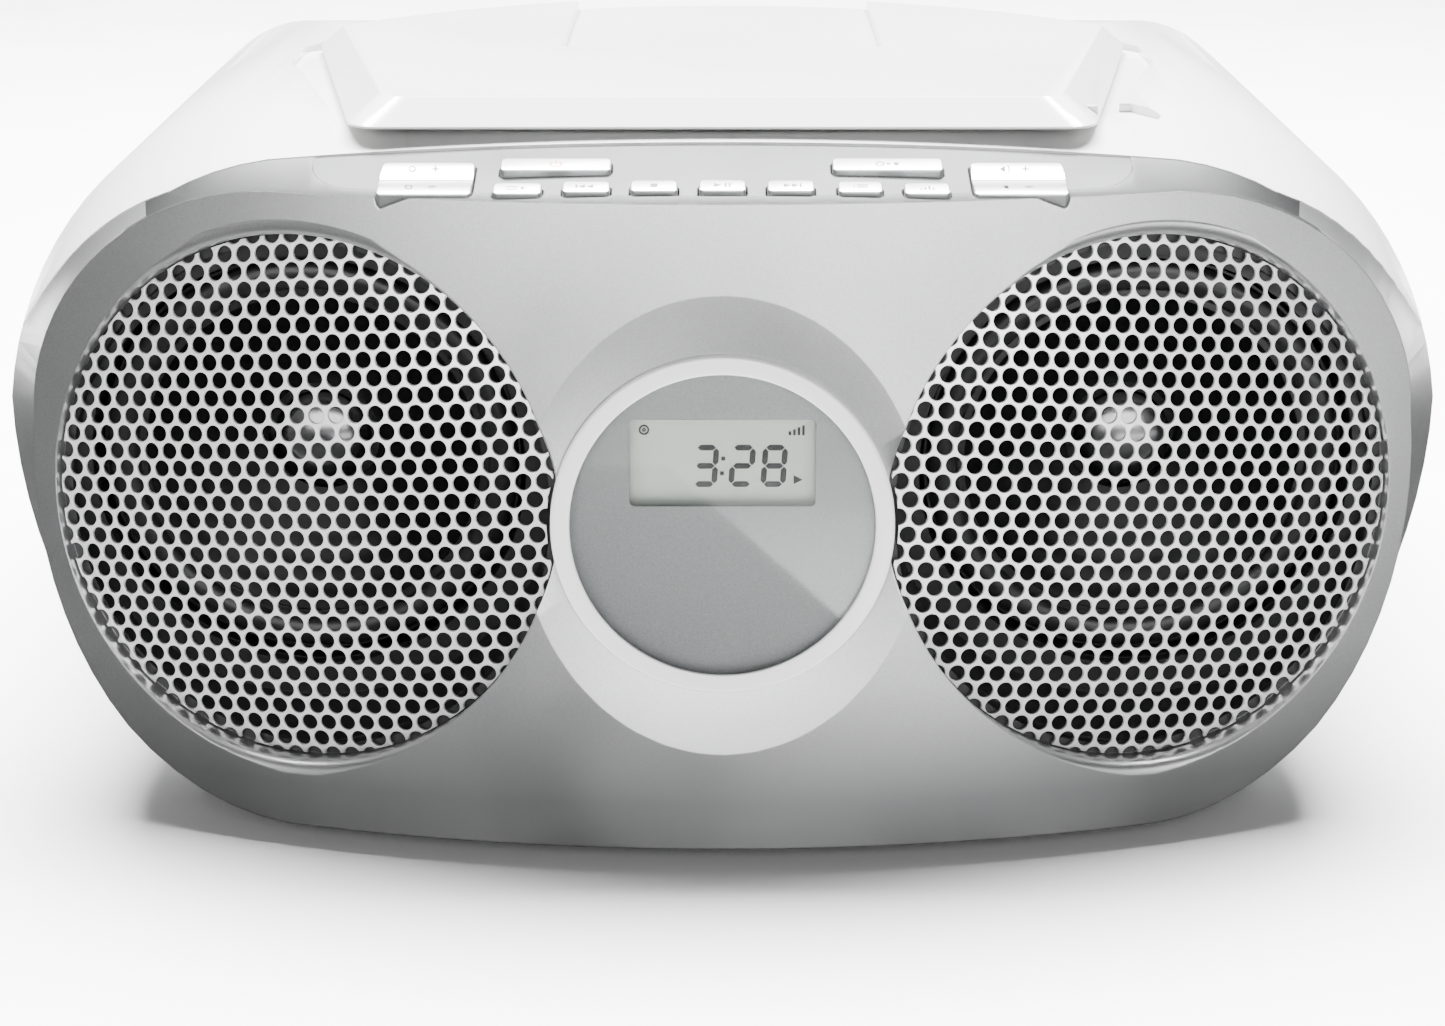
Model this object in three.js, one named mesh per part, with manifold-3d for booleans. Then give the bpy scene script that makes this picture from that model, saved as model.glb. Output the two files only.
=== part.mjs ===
// Portable CD radio: two round speakers, a display between them, keys on a sloping strip,
// and a CD lid on top. Millimetres, +Z up, front facing -Y, origin at the bottom centre.
import * as THREE from 'three';
import { mergeVertices } from 'three/addons/utils/BufferGeometryUtils.js';
import Module from 'manifold-3d';

const wasm = await Module();
wasm.setup();

// ---------- driving dimensions ----------
const width = 302;
const depth = 235;
const footHeight = 4.5;
const gap = 0.35; // clearance between neighbouring pieces
const wall = 2.6;

// casing cross-section
const bottomZ = footHeight + gap;
const widestZ = 84;
const shoulderZ = 143;
const baseHalf = 90;
const shoulderHalf = 95;

// front face
const lean = THREE.MathUtils.degToRad(9); // the face leans back
const bowRadius = 368; // plan radius of the face
const displayZ = 70.5;
const chinReach = (displayZ - bottomZ) * Math.tan(lean);
const faceY = -depth / 2 + chinReach; // the face at display height
const ridgeDropZ = 9.3; // the face ends this far below the shoulder
const ridgeInsetX = 8;
const stripDepth = 33; // the key strip, front to back
const sideBandDepth = 9;
const seamY = 45.5 - depth / 2; // front fascia meets the white covers
const seamSideY = seamY + 16; // and runs further back at the sides
const seamStraightHalf = 112;

// rear
const rearY = depth / 2;
const rearHalf = 110;
const rearStep = 9.5; // the upper rear wall is set back for the antenna
const rearStepZ = widestZ; // the ledge belongs to the rear cabinet
const rearCornerY = rearY - 75.5; // the plan starts to curve in here
const rearRoundY = rearY - 69.5; // and the top starts to fall here
const cornerRadius = 10;

// speakers
const speakerX = 86.9;
const speakerZ = 71.8;
const openingRadius = 54.2;
const rimWidth = 2.9;
const rimDepth = 5.9;
const grilleThickness = 1.2;
const grilleDome = 5;
const driverSetback = 26; // flange behind the face centre
const driverRadius = openingRadius - 4.2;
const coneRadius = driverRadius - 6;
const coneDepth = 17;
const dustCapRadius = 10.5;
const magnetRadius = 34;
const magnetDepth = 13;

// display
const dishRadius = 46.4;
const dishDepth = 4;
const bezelProud = 1.4; // above the floor of the dish
const bezelRadius = 34.7;
const plateRadius = 31.2;
const lcdWidth = 37;
const lcdHeight = 17.5;
const lcdRise = 12.5; // LCD centre above the display centre

// lid
const lidFrontY = seamY + 8;
const lidFrontHalf = 69;
const lidSideHalf = 89.5;
const lidArcY = lidFrontY + 9;
const lidTopZ = 148;
const lidBaseZ = 142.6;
const lidBevel = 6;
const lidSlope = 5; // height of the sloping edge
const lidWall = 2.4;
const scoopDepth = 2.4; // finger scoop at the back of the lid
const scoopHalf = 36;
const hingeX = 64;
const hingeY = 68;
const hingeZ = 137;
const hingePinRadius = 2;
const recessFloorZ = 141.2;

// disc well, centred on X = Y = 0
const wellRadius = 63;
const wellFloorZ = 129.4;
const wellWall = 2.2;
const hubRadius = 7.4;
const chassisTopZ = 121.5;
const chassisThickness = 2;
const turntableRadius = 14;
const lidArcRadius = wellRadius - 0.3 - lidArcY; // the lid just covers the well

// handle
const pocketHalf = 54;
const pocketY = wellRadius + 7.5;
const pocketFloorZ = 104;
const handleDepth = 14.5;
const handleHeight = 20;
const handleTopZ = 134;

// antenna
const antennaX = 104;
const antennaZ = 93;
const antennaShaftRadius = 3;
const sectionLength = 118;
const sectionRadii = [3.4, 2.5, 1.6];

// ---------- geometry helpers ----------
function solid(geometry) {
  geometry.deleteAttribute('normal');
  geometry.deleteAttribute('uv');
  const merged = mergeVertices(geometry, 1e-4);
  return new wasm.Manifold(new wasm.Mesh({
    numProp: 3,
    vertProperties: new Float32Array(merged.attributes.position.array),
    triVerts: new Uint32Array(merged.index.array),
  }));
}

function union(...solids) {
  return solids.reduce((sum, next) => sum.add(next));
}

function box(x0, x1, y0, y1, z0, z1) {
  const geometry = new THREE.BoxGeometry(x1 - x0, y1 - y0, z1 - z0);
  geometry.translate((x0 + x1) / 2, (y0 + y1) / 2, (z0 + z1) / 2);
  return solid(geometry);
}

// Round bars along each axis; the end radii may differ.
function barY(x, z, r, y0, y1, sides = 24, endRadius = r) {
  const geometry = new THREE.CylinderGeometry(endRadius, r, y1 - y0, sides);
  geometry.translate(x, (y0 + y1) / 2, z);
  return solid(geometry);
}

function barZ(x, y, r, z0, z1, sides = 24, endRadius = r) {
  const geometry = new THREE.CylinderGeometry(endRadius, r, z1 - z0, sides);
  geometry.rotateX(Math.PI / 2).translate(x, y, (z0 + z1) / 2);
  return solid(geometry);
}

function barX(y, z, r, x0, x1, sides = 24) {
  const geometry = new THREE.CylinderGeometry(r, r, x1 - x0, sides);
  geometry.rotateZ(Math.PI / 2).translate((x0 + x1) / 2, y, z);
  return solid(geometry);
}

// Outlines pushed through space: drawn in XZ along Y, in XY along Z, or in YZ along X.
function extruded(shape, length, options = {}) {
  return new THREE.ExtrudeGeometry(shape, { depth: length, bevelEnabled: false, ...options });
}

function prismZ(shape, z0, z1, curveSegments = 8) {
  return solid(extruded(shape, z1 - z0, { curveSegments }).translate(0, 0, z0));
}

function prismX(shape, x0, x1, curveSegments = 8) {
  const axes = new THREE.Matrix4().makeBasis(
    new THREE.Vector3(0, 1, 0), new THREE.Vector3(0, 0, 1), new THREE.Vector3(1, 0, 0));
  return solid(extruded(shape, x1 - x0, { curveSegments }).applyMatrix4(axes).translate(x0, 0, 0));
}

function roundedRect(w, h, r) {
  const shape = new THREE.Shape();
  shape.moveTo(-w / 2 + r, -h / 2);
  shape.lineTo(w / 2 - r, -h / 2);
  shape.absarc(w / 2 - r, -h / 2 + r, r, -Math.PI / 2, 0);
  shape.lineTo(w / 2, h / 2 - r);
  shape.absarc(w / 2 - r, h / 2 - r, r, 0, Math.PI / 2);
  shape.lineTo(-w / 2 + r, h / 2);
  shape.absarc(-w / 2 + r, h / 2 - r, r, Math.PI / 2, Math.PI);
  shape.lineTo(-w / 2, -h / 2 + r);
  shape.absarc(-w / 2 + r, -h / 2 + r, r, Math.PI, Math.PI * 1.5);
  return shape;
}

// A piece turned about Z. Its [radius, height] profile runs anticlockwise, and a ring's closes on itself.
function turned(profile, segments = 32) {
  const points = profile.map(([r, h]) => new THREE.Vector2(r, h));
  if (profile[0][0] > 0) points.push(points[0].clone());
  return solid(new THREE.LatheGeometry(points, segments).rotateX(Math.PI / 2));
}

function place(shape, matrix) {
  return shape.transform(matrix.elements);
}

// ---------- casing surfaces ----------
const bow = (x) => bowRadius - Math.sqrt(bowRadius ** 2 - x ** 2);
const leanAt = (z) => (z - displayZ) * Math.tan(lean);
const faceAt = (x, z) => faceY + bow(x) + leanAt(z);

function sectionShape(inset, steps) {
  const side = width / 2 - inset;
  const low = bottomZ + inset;
  const high = shoulderZ - inset;
  const shape = new THREE.Shape();
  const straight = (from, to, z) => {
    for (let i = 1; i <= steps; i += 1) shape.lineTo(from + ((to - from) * i) / steps, z);
  };
  shape.moveTo(-baseHalf, low);
  straight(-baseHalf, baseHalf, low);
  shape.bezierCurveTo(baseHalf + 36, low + 2, side, 46, side, widestZ);
  shape.bezierCurveTo(side, 112, 128 - inset, high - 2, shoulderHalf, high);
  straight(shoulderHalf, -shoulderHalf, high);
  shape.bezierCurveTo(inset - 128, high - 2, -side, 112, -side, widestZ);
  shape.bezierCurveTo(-side, 46, -baseHalf - 36, low + 2, -baseHalf, low);
  return shape;
}

// The cross-section swept along Y. Its upper front edge is drawn in, so that the
// key strip and the side bands slope back from the rim of the face.
function sweptCasing(inset, fineness) {
  const geometry = extruded(sectionShape(inset, fineness), 3, { curveSegments: fineness, steps: 3 });
  geometry.rotateX(Math.PI / 2).translate(0, 3, 0);
  const position = geometry.attributes.position;
  for (let i = 0; i < position.count; i += 1) {
    const x = position.getX(i);
    const z = position.getZ(i);
    const ring = Math.round(position.getY(i));
    const rise = Math.max(0, (z - widestZ) / (shoulderZ - widestZ));
    const band = sideBandDepth + (stripDepth - sideBandDepth) * rise;
    const drawnIn = ring < 2 ? 1 : 0;
    const sideFade = Math.max(0, Math.min(1, (z - 20) / 64));
    const squeezeX = 1 - drawnIn * sideFade * ridgeInsetX / (width / 2);
    const squeezeZ = drawnIn * rise * ridgeDropZ;
    const y = [-depth, faceAt(x, z), faceAt(x, z) + band, rearY + 20][ring];
    position.setXYZ(i, x * squeezeX, y, z - squeezeZ);
  }
  return solid(geometry);
}

function bowedFront(inset, sides) {
  const reach = 90;
  const axisY = faceY + bowRadius;
  const cylinder = new THREE.CylinderGeometry(bowRadius - inset, bowRadius - inset, 2 * reach, sides);
  cylinder.rotateX(Math.PI / 2);
  const leaning = new THREE.Matrix4().makeShear(0, 0, 0, 0, 0, Math.tan(lean));
  cylinder.applyMatrix4(leaning).translate(0, axisY, displayZ);
  return solid(cylinder);
}

function planOutline(inset) {
  const half = width / 2 + 1 - inset;
  const rear = rearY - inset;
  const pullY = rearCornerY + 42;
  const pullX = half - 6;
  const shape = new THREE.Shape();
  shape.moveTo(-half, -depth);
  shape.lineTo(half, -depth);
  shape.lineTo(half, rearCornerY);
  shape.bezierCurveTo(half, pullY, pullX, rear, rearHalf - inset, rear);
  shape.lineTo(inset - rearHalf, rear);
  shape.bezierCurveTo(-pullX, rear, -half, pullY, -half, rearCornerY);
  return prismZ(shape, -10, shoulderZ + 20, 8);
}

// Side view: level top, round upper rear edge, stepped rear wall.
function sideProfile(inset) {
  const upperRear = rearY - rearStep - inset;
  const low = bottomZ + inset;
  const high = shoulderZ - inset;
  const shape = new THREE.Shape();
  shape.moveTo(-depth, low);
  shape.lineTo(rearY - inset - cornerRadius, low);
  shape.absarc(rearY - inset - cornerRadius, low + cornerRadius, cornerRadius, -Math.PI / 2, 0);
  shape.lineTo(rearY - inset, rearStepZ - inset);
  shape.lineTo(upperRear, rearStepZ - inset);
  shape.lineTo(upperRear, shoulderZ - 35);
  shape.bezierCurveTo(upperRear, shoulderZ - 11, rearRoundY + 34, high, rearRoundY, high);
  shape.lineTo(-depth, high);
  return prismX(shape, -width, width, 8);
}

function casing(inset, fineness) {
  return sweptCasing(inset, fineness).intersect(bowedFront(inset, fineness * 16))
    .intersect(planOutline(inset)).intersect(sideProfile(inset));
}

const outer = casing(0, 7);
const inner = casing(wall, 5);
const shell = outer.subtract(inner);

// Everything behind the joint between the front fascia and the white covers.
function behindSeam(shift) {
  const shape = new THREE.Shape();
  shape.moveTo(-seamStraightHalf, seamY + shift);
  shape.lineTo(seamStraightHalf, seamY + shift);
  shape.lineTo(width / 2, seamSideY + shift);
  shape.lineTo(width / 2 + 5, depth);
  shape.lineTo(-width / 2 - 5, depth);
  shape.lineTo(-width / 2, seamSideY + shift);
  return prismZ(shape, -10, shoulderZ + 20);
}

// Frames on the face: a local Z axis points out of it, local Y runs up it.
function faceFrame(x, z) {
  const turn = Math.asin(x / bowRadius);
  const rotation = new THREE.Euler(Math.PI / 2 - lean, 0, turn, 'ZYX');
  return new THREE.Matrix4().makeRotationFromEuler(rotation).setPosition(x, faceAt(x, z), z);
}

const displayFrame = faceFrame(0, displayZ);
const speakerFrames = { left: faceFrame(-speakerX, speakerZ), right: faceFrame(speakerX, speakerZ) };

// ---------- key strip ----------
const stripSlope = Math.atan(ridgeDropZ / stripDepth);
const ridgeY = faceAt(0, shoulderZ);
const stripZ = (x, y) => shoulderZ - ridgeDropZ * (1 - (y - ridgeY - bow(x)) / stripDepth);
const keyRows = { front: ridgeY + 5.2, rear: ridgeY + 14.2, full: ridgeY + 10.4 };
const keys = [
  { name: 'preset_rocker', x: -58.2, row: 'full', w: 18.4, h: 13, rocker: true },
  { name: 'power_button', x: -32.9, row: 'rear', w: 21.8, h: 5 },
  { name: 'mode_button', x: -39.9, row: 'front', w: 9.4, h: 4.4 },
  { name: 'previous_button', x: -26.5, row: 'front', w: 9.2, h: 4.4 },
  { name: 'stop_button', x: -13.3, row: 'front', w: 9.1, h: 4.4 },
  { name: 'play_button', x: 0, row: 'front', w: 9.1, h: 4.4 },
  { name: 'next_button', x: 13.3, row: 'front', w: 9.1, h: 4.4 },
  { name: 'source_button', x: 32.6, row: 'rear', w: 21.8, h: 5 },
  { name: 'program_button', x: 26.8, row: 'front', w: 8.6, h: 4.4 },
  { name: 'bass_button', x: 39.8, row: 'front', w: 8.9, h: 4.4 },
  { name: 'volume_rocker', x: 58.2, row: 'full', w: 18.4, h: 13, rocker: true },
];
const keyTravel = 1;
const keyProud = 0.9;
const keyBoardDrop = 7; // the key board lies this far under the strip

function keyFrame(key) {
  const y = keyRows[key.row];
  return new THREE.Matrix4().makeRotationX(stripSlope).setPosition(key.x, y, stripZ(key.x, y));
}

function keyHole(key) {
  return place(prismZ(roundedRect(key.w + 2 * gap, key.h + 2 * gap, 1 + gap), -9, 5, 1), keyFrame(key));
}

function keyCap(key) {
  const depthBelow = keyBoardDrop - keyTravel - 1;
  const cap = prismZ(roundedRect(key.w, key.h, 1), -depthBelow, keyProud, 2);
  if (!key.rocker) {
    return place(cap, keyFrame(key));
  }
  const valley = barX(0, keyProud + 9.4, 9.9, -key.w, key.w, 32);
  return place(cap.subtract(valley), keyFrame(key));
}

// ---------- speakers, built facing local +Z ----------
function driverFrame(x) {
  const frame = new THREE.Matrix4().makeRotationX(Math.PI / 2);
  return frame.setPosition(x, faceAt(x, speakerZ) + driverSetback, speakerZ);
}

const driverFrames = { left: driverFrame(-speakerX), right: driverFrame(speakerX) };
const neckRadius = dustCapRadius + 0.6;
const basketRear = coneDepth + 5;

// The tube and seat that hold a driver behind its opening.
function chamber() {
  const tubeOuter = openingRadius + wall / 2;
  const tubeInner = tubeOuter - wall;
  const seatInner = coneRadius + 1.5;
  return turned([[seatInner, gap], [tubeOuter, gap], [tubeOuter, driverSetback],
    [tubeInner, driverSetback], [tubeInner, gap + wall], [seatInner, gap + wall]], 36);
}

function grille() {
  const r = openingRadius - gap;
  const top = -rimDepth;
  const low = top - grilleThickness;
  const rings = [1, 0.75, 0.4];
  const rise = (share) => grilleDome * (1 - share ** 2);
  const upper = rings.map((share) => [r * share, top + rise(share)]);
  const lower = rings.map((share) => [r * share, low + rise(share)]).reverse();
  return turned([[0, low + grilleDome], ...lower, ...upper, [0, top + grilleDome]], 36);
}

// The bezel laps over the edge of each opening, so the grilles are cut clear of it.
function trimmedGrille(frame) {
  const bezelClearance = barZ(0, 0, bezelRadius + gap, -20, 20, 44);
  return place(grille(), frame).subtract(place(bezelClearance, displayFrame));
}

function basket() {
  const lip = coneRadius + 1.5;
  const back = basketRear + 2;
  return turned([[lip, -3], [magnetRadius - 3, -basketRear], [neckRadius + 2, -basketRear],
    [neckRadius + 2, -back], [magnetRadius - 1, -back], [lip + 2, -3], [driverRadius, -2],
    [driverRadius, 0], [lip, 0]], 28);
}

function cone() {
  const neck = neckRadius + 1.2;
  return turned([[neckRadius, -coneDepth], [neckRadius, -coneDepth - 5], [neck, -coneDepth - 5],
    [neck, -coneDepth - 1.4], [coneRadius, -1.8], [coneRadius, -0.6], [neck + 1, -coneDepth]], 28);
}

function dustCap() {
  const base = 0.4 - coneDepth;
  return turned([[0, base], [dustCapRadius, base], [dustCapRadius * 0.82, base + 3.4],
    [dustCapRadius * 0.48, base + 5.4], [0, base + 6.2]], 20);
}

function magnet() {
  const front = -basketRear - 2 - gap;
  return barZ(0, 0, magnetRadius, front - magnetDepth, front, 28);
}

// ---------- front fascia ----------
function dishCut() {
  const reach = 4;
  const spread = (dishRadius - bezelRadius) / dishDepth;
  return turned([[0, -dishDepth], [bezelRadius, -dishDepth],
    [dishRadius + spread * reach, reach], [0, reach]], 44);
}

function dishBacking() {
  return turned([[0, -dishDepth - wall], [bezelRadius + wall, -dishDepth - wall],
    [dishRadius + wall, -0.5], [0, -0.5]], 44);
}

function frontFascia() {
  let fascia = shell.subtract(behindSeam(-gap / 2));
  const rimTube = barZ(0, 0, openingRadius + wall, -rimDepth - 3, 0, 40);
  const ledge = rimDepth + grilleThickness + gap;
  const rimCut = union(
    barZ(0, 0, openingRadius - 2, -rimDepth - 3.3, 0, 40),
    barZ(0, 0, openingRadius, -ledge, 20, 40),
    barZ(0, 0, openingRadius, -rimWidth, 8, 40, openingRadius + rimWidth + 8));
  fascia = fascia.add(place(dishBacking(), displayFrame).intersect(outer));
  for (const frame of Object.values(speakerFrames)) {
    fascia = fascia.add(place(rimTube, frame).intersect(outer));
  }
  for (const frame of Object.values(driverFrames)) {
    fascia = fascia.add(place(chamber(), frame).intersect(outer));
  }
  fascia = fascia.subtract(place(dishCut(), displayFrame));
  fascia = fascia.subtract(place(barZ(0, 0, plateRadius + 0.6, -40, 20, 40), displayFrame));
  for (const frame of Object.values(speakerFrames)) {
    fascia = fascia.subtract(place(rimCut, frame));
  }
  for (const key of keys) {
    fascia = fascia.subtract(keyHole(key));
  }
  return fascia;
}

// ---------- lid ----------
function lidOutline(inset) {
  const shape = new THREE.Shape();
  const radius = lidArcRadius - inset;
  const side = lidSideHalf - inset;
  const cornerAngle = Math.acos(side / radius);
  const front = lidFrontHalf - inset;
  const corner = 6;
  shape.moveTo(corner - front, lidFrontY + inset);
  shape.lineTo(front - corner, lidFrontY + inset);
  shape.quadraticCurveTo(front, lidFrontY + inset, front + 1.4, lidFrontY + inset + corner);
  shape.absarc(0, lidArcY, radius, cornerAngle, Math.PI - cornerAngle);
  shape.lineTo(-front - 1.4, lidFrontY + inset + corner);
  shape.quadraticCurveTo(-front, lidFrontY + inset, corner - front, lidFrontY + inset);
  return shape;
}

function lidSolid(inset, lowZ) {
  const skirt = 5;
  const geometry = extruded(lidOutline(inset), skirt, {
    bevelEnabled: true, bevelThickness: lidSlope, bevelSize: lidBevel, bevelSegments: 1, curveSegments: 12,
  });
  geometry.translate(0, 0, lidTopZ - inset - skirt - lidSlope);
  return solid(geometry).subtract(box(-width, width, -depth, depth, 0, lowZ));
}

// A shallow hollow at the back of the lid where fingers reach for the handle.
function scoop(half, floorZ) {
  const profile = new THREE.Shape();
  const rise = lidTopZ + 4 - floorZ;
  profile.moveTo(-4 - rise, lidTopZ + 4);
  profile.lineTo(-4, floorZ);
  profile.lineTo(depth, floorZ);
  profile.lineTo(depth, lidTopZ + 4);
  return prismX(profile, -half, half);
}

// A small tab on the lid's right front corner, with a finger hollow beside it.
const tabX = 75;
const tabY = lidFrontY + 6;
const hollowReach = 16;
const hollowLength = 12;

function fingerHollow(floorZ, margin) {
  const shape = new THREE.Shape();
  shape.moveTo(tabX, tabY - 5 - margin);
  shape.lineTo(tabX + hollowReach - 3 + margin, tabY - 3 - margin);
  shape.lineTo(tabX + hollowReach + margin, tabY + 4);
  shape.lineTo(tabX + hollowReach - 5 + margin, tabY + hollowLength + margin);
  shape.lineTo(tabX, tabY + hollowLength + margin);
  return prismZ(shape, floorZ, shoulderZ + 10);
}

const armHalf = 4; // half the width of a hinge arm
const knuckleRadius = 3.6;
const bracketHalf = armHalf + 3.8;

function cdDoor() {
  const scoopFloorZ = lidTopZ - scoopDepth;
  const lidOuter = lidSolid(0, lidBaseZ);
  const pad = scoop(scoopHalf + 4, scoopFloorZ - 2).intersect(lidOuter);
  let lid = lidOuter.subtract(lidSolid(lidWall, 0)).add(pad).subtract(scoop(scoopHalf, scoopFloorZ));
  lid = lid.add(box(tabX - 4, tabX + 2, tabY - 1, tabY + 1.2, lidBaseZ, lidTopZ - 3));
  const rootZ = lidTopZ - lidWall + 0.6;
  const arm = new THREE.Shape();
  arm.moveTo(hingeY - 38, rootZ);
  arm.lineTo(hingeY - 38, lidBaseZ);
  arm.lineTo(hingeY - 22, hingeZ - 3);
  arm.lineTo(hingeY, hingeZ - knuckleRadius);
  arm.absarc(hingeY, hingeZ, knuckleRadius, -Math.PI / 2, Math.PI / 2);
  arm.lineTo(hingeY - 18, hingeZ + knuckleRadius);
  arm.lineTo(hingeY - 28, rootZ);
  for (const side of [-1, 1]) {
    lid = lid.add(prismX(arm, side * hingeX - armHalf, side * hingeX + armHalf));
  }
  return lid.subtract(barX(hingeY, hingeZ, hingePinRadius + gap, -width, width));
}

function hingePin(side) {
  const x = side * hingeX;
  return barX(hingeY, hingeZ, hingePinRadius, x - bracketHalf + 0.2, x + bracketHalf - 0.2, 16);
}

// ---------- white covers ----------
// The lowered deck the lid lies in, wider than the lid all round.
function recess(floorZ, margin) {
  const front = seamY - 20;
  const side = lidSideHalf + 9.5 + margin;
  const radius = lidArcRadius + 9 + margin;
  const turn = Math.acos(side / radius);
  const shape = new THREE.Shape();
  shape.moveTo(-lidFrontHalf - 3 - margin, front);
  shape.lineTo(lidFrontHalf + 3 + margin, front);
  shape.lineTo(lidFrontHalf + 9 + margin, lidFrontY);
  shape.lineTo(side, lidFrontY + 68);
  shape.absarc(0, lidArcY, radius, turn, Math.PI - turn);
  shape.lineTo(-side, lidFrontY + 68);
  shape.lineTo(-lidFrontHalf - 9 - margin, lidFrontY);
  return prismZ(shape, floorZ, shoulderZ + 10, 14);
}

const pocketBox = box(-pocketHalf, pocketHalf, pocketY, depth, pocketFloorZ, shoulderZ + 10);
const upperRearY = rearY - rearStep;
const handleFrontY = upperRearY - handleDepth;

const spindleHoleRadius = 17;

function topCover() {
  const deckZ = recessFloorZ - wall;
  const backing = recess(deckZ, wall).add(fingerHollow(deckZ, wall)).intersect(outer);
  const tubHalf = pocketHalf + wall;
  const tub = box(-tubHalf, tubHalf, pocketY - wall, depth, pocketFloorZ - wall, shoulderZ + 10);
  const well = barZ(0, 0, wellRadius + wellWall, wellFloorZ - 2, recessFloorZ, 48);
  let cover = shell.add(backing).add(tub.intersect(outer)).add(well);
  for (const side of [-1, 1]) {
    const [left, right] = [side * hingeX - bracketHalf, side * hingeX + bracketHalf];
    const bracket = box(left, right, hingeY - 7, hingeY + 6, hingeZ - 5, recessFloorZ - 1);
    cover = cover.add(bracket.intersect(outer));
  }
  cover = cover.subtract(recess(recessFloorZ, 0)).subtract(fingerHollow(recessFloorZ, 0)).subtract(pocketBox);
  cover = cover.subtract(barZ(0, 0, wellRadius, wellFloorZ, shoulderZ + 10, 48));
  cover = cover.subtract(barZ(0, 0, spindleHoleRadius, chassisTopZ, shoulderZ, 32));
  cover = cover.subtract(box(-10, 10, -wellRadius - 1, -12, chassisTopZ, shoulderZ)); // the laser's slot
  for (const side of [-1, 1]) {
    const [left, right] = [side * hingeX - armHalf - gap, side * hingeX + armHalf + gap];
    const reach = bracketHalf - armHalf + 1;
    cover = cover.subtract(box(left, right, hingeY - 42, hingeY + 4.4, hingeZ - 12, shoulderZ + 10));
    cover = cover.subtract(barX(hingeY, hingeZ, hingePinRadius + gap, left - reach, right + reach));
  }
  cover = cover.subtract(barY(antennaX, antennaZ, antennaShaftRadius + 0.4, upperRearY - 10, depth, 20));
  return cover.intersect(behindSeam(gap / 2))
    .subtract(box(-width, width, -depth, depth, -10, widestZ + gap / 2));
}

function carryHandle() {
  const bar = roundedRect(handleDepth, handleHeight, 5);
  const length = pocketHalf - gap;
  const solidBar = prismX(bar, -length, length, 5);
  return solidBar.translate([0, handleFrontY + handleDepth / 2, handleTopZ - handleHeight / 2]);
}

// ---------- rear cabinet, battery bay, feet ----------
const batteryDoor = { x0: -80, x1: 60, z0: 20, z1: 66, thickness: 2.2 };
const bayDepth = 61.5;
const inlet = { x: 92, z: 34, half: 11.6, tall: 7.6, depth: 18 };
const jack = { x: -100, z: 34, radius: 4, bore: 1.8, depth: 12 };
const boardPosts = [[-52, -34], [52, -34], [-52, 30], [52, 30]];
const boardZ = 30;
const footX = baseHalf - 4;
const footFrontY = 29.5 - depth / 2;
const footRearY = depth / 2 - 19.5;
const footPlaces = [[-footX, footFrontY], [footX, footFrontY], [-footX, footRearY], [footX, footRearY]];

function rearCabinet() {
  const d = batteryDoor;
  const cutY = rearY - 17.5; // holes in the rear wall start inside it
  const play = gap + 0.05;
  let cabinet = shell.intersect(behindSeam(gap / 2))
    .subtract(box(-width, width, -depth, depth, widestZ - gap / 2, shoulderZ + 10));
  for (const [x, y] of boardPosts) {
    cabinet = cabinet.add(barZ(x, y, 3, bottomZ + 1, boardZ - gap, 12));
  }
  cabinet = cabinet.subtract(box(d.x0 - gap, d.x1 + gap, cutY, depth, d.z0 - 1, d.z1 + gap));
  const [wide, tall, x, z] = [inlet.half + play, inlet.tall + play, inlet.x, inlet.z];
  cabinet = cabinet.subtract(box(x - wide, x + wide, cutY, depth, z - tall, z + tall));
  return cabinet.subtract(barY(jack.x, jack.z, jack.radius + play, cutY, depth, 20));
}

function batteryTray() {
  const d = batteryDoor;
  const mouthY = rearY - wall - gap;
  const backY = rearY - bayDepth;
  const outside = box(d.x0 - 2, d.x1 + 2, backY, mouthY, d.z0 - 3, d.z1 + 2);
  return outside.subtract(box(d.x0, d.x1, backY + 2, depth, d.z0 - 1, d.z1));
}

function batteryDoorPlate() {
  const d = batteryDoor;
  const y = rearY - d.thickness;
  const leaf = box(d.x0, d.x1, y, rearY, d.z0 + 1, d.z1 - gap);
  const edge = barX(y + d.thickness / 2, d.z0 + 1, d.thickness / 2, d.x0, d.x1, 16);
  let door = leaf.add(edge);
  for (const x of [-30, -10, 10]) { // finger grooves
    door = door.subtract(box(x - 8, x + 8, rearY - 0.8, depth, d.z1 - 8, d.z1 - 5));
  }
  return door;
}

function foot([x, y]) {
  const pad = roundedRect(24, 13, 6);
  return prismZ(pad, 0, footHeight, 3).translate([x, y, 0]);
}

// ---------- display, built facing local +Z with the face at 0 ----------
const bezelTop = bezelProud - dishDepth;
const lensTop = bezelTop - 0.5;

function displayBezel() {
  const innerRadius = plateRadius + gap;
  const outerRadius = bezelRadius - gap;
  const low = gap - dishDepth;
  return turned([[innerRadius, low], [outerRadius, low], [outerRadius, bezelTop - 0.7],
    [outerRadius - 0.8, bezelTop], [innerRadius + 0.8, bezelTop], [innerRadius, bezelTop - 0.6]], 44);
}

const lcdWindow = (margin) => roundedRect(lcdWidth + 2 * margin, lcdHeight + 2 * margin, 1);

function displayPlate() {
  const plate = barZ(0, 0, plateRadius, lensTop - 3.4, lensTop - 1.8, 40);
  return plate.subtract(prismZ(lcdWindow(0), -20, 20, 2).translate([0, lcdRise, 0]));
}

const displayLens = () => barZ(0, 0, plateRadius, lensTop - 1.4, lensTop, 40);
const lcdGlass = () => prismZ(lcdWindow(2), lensTop - 5.6, lensTop - 3.8, 2).translate([0, lcdRise, 0]);
const displayBoard = () => prismZ(roundedRect(58, 46, 3), lensTop - 9, lensTop - 7.4, 2);

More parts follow.
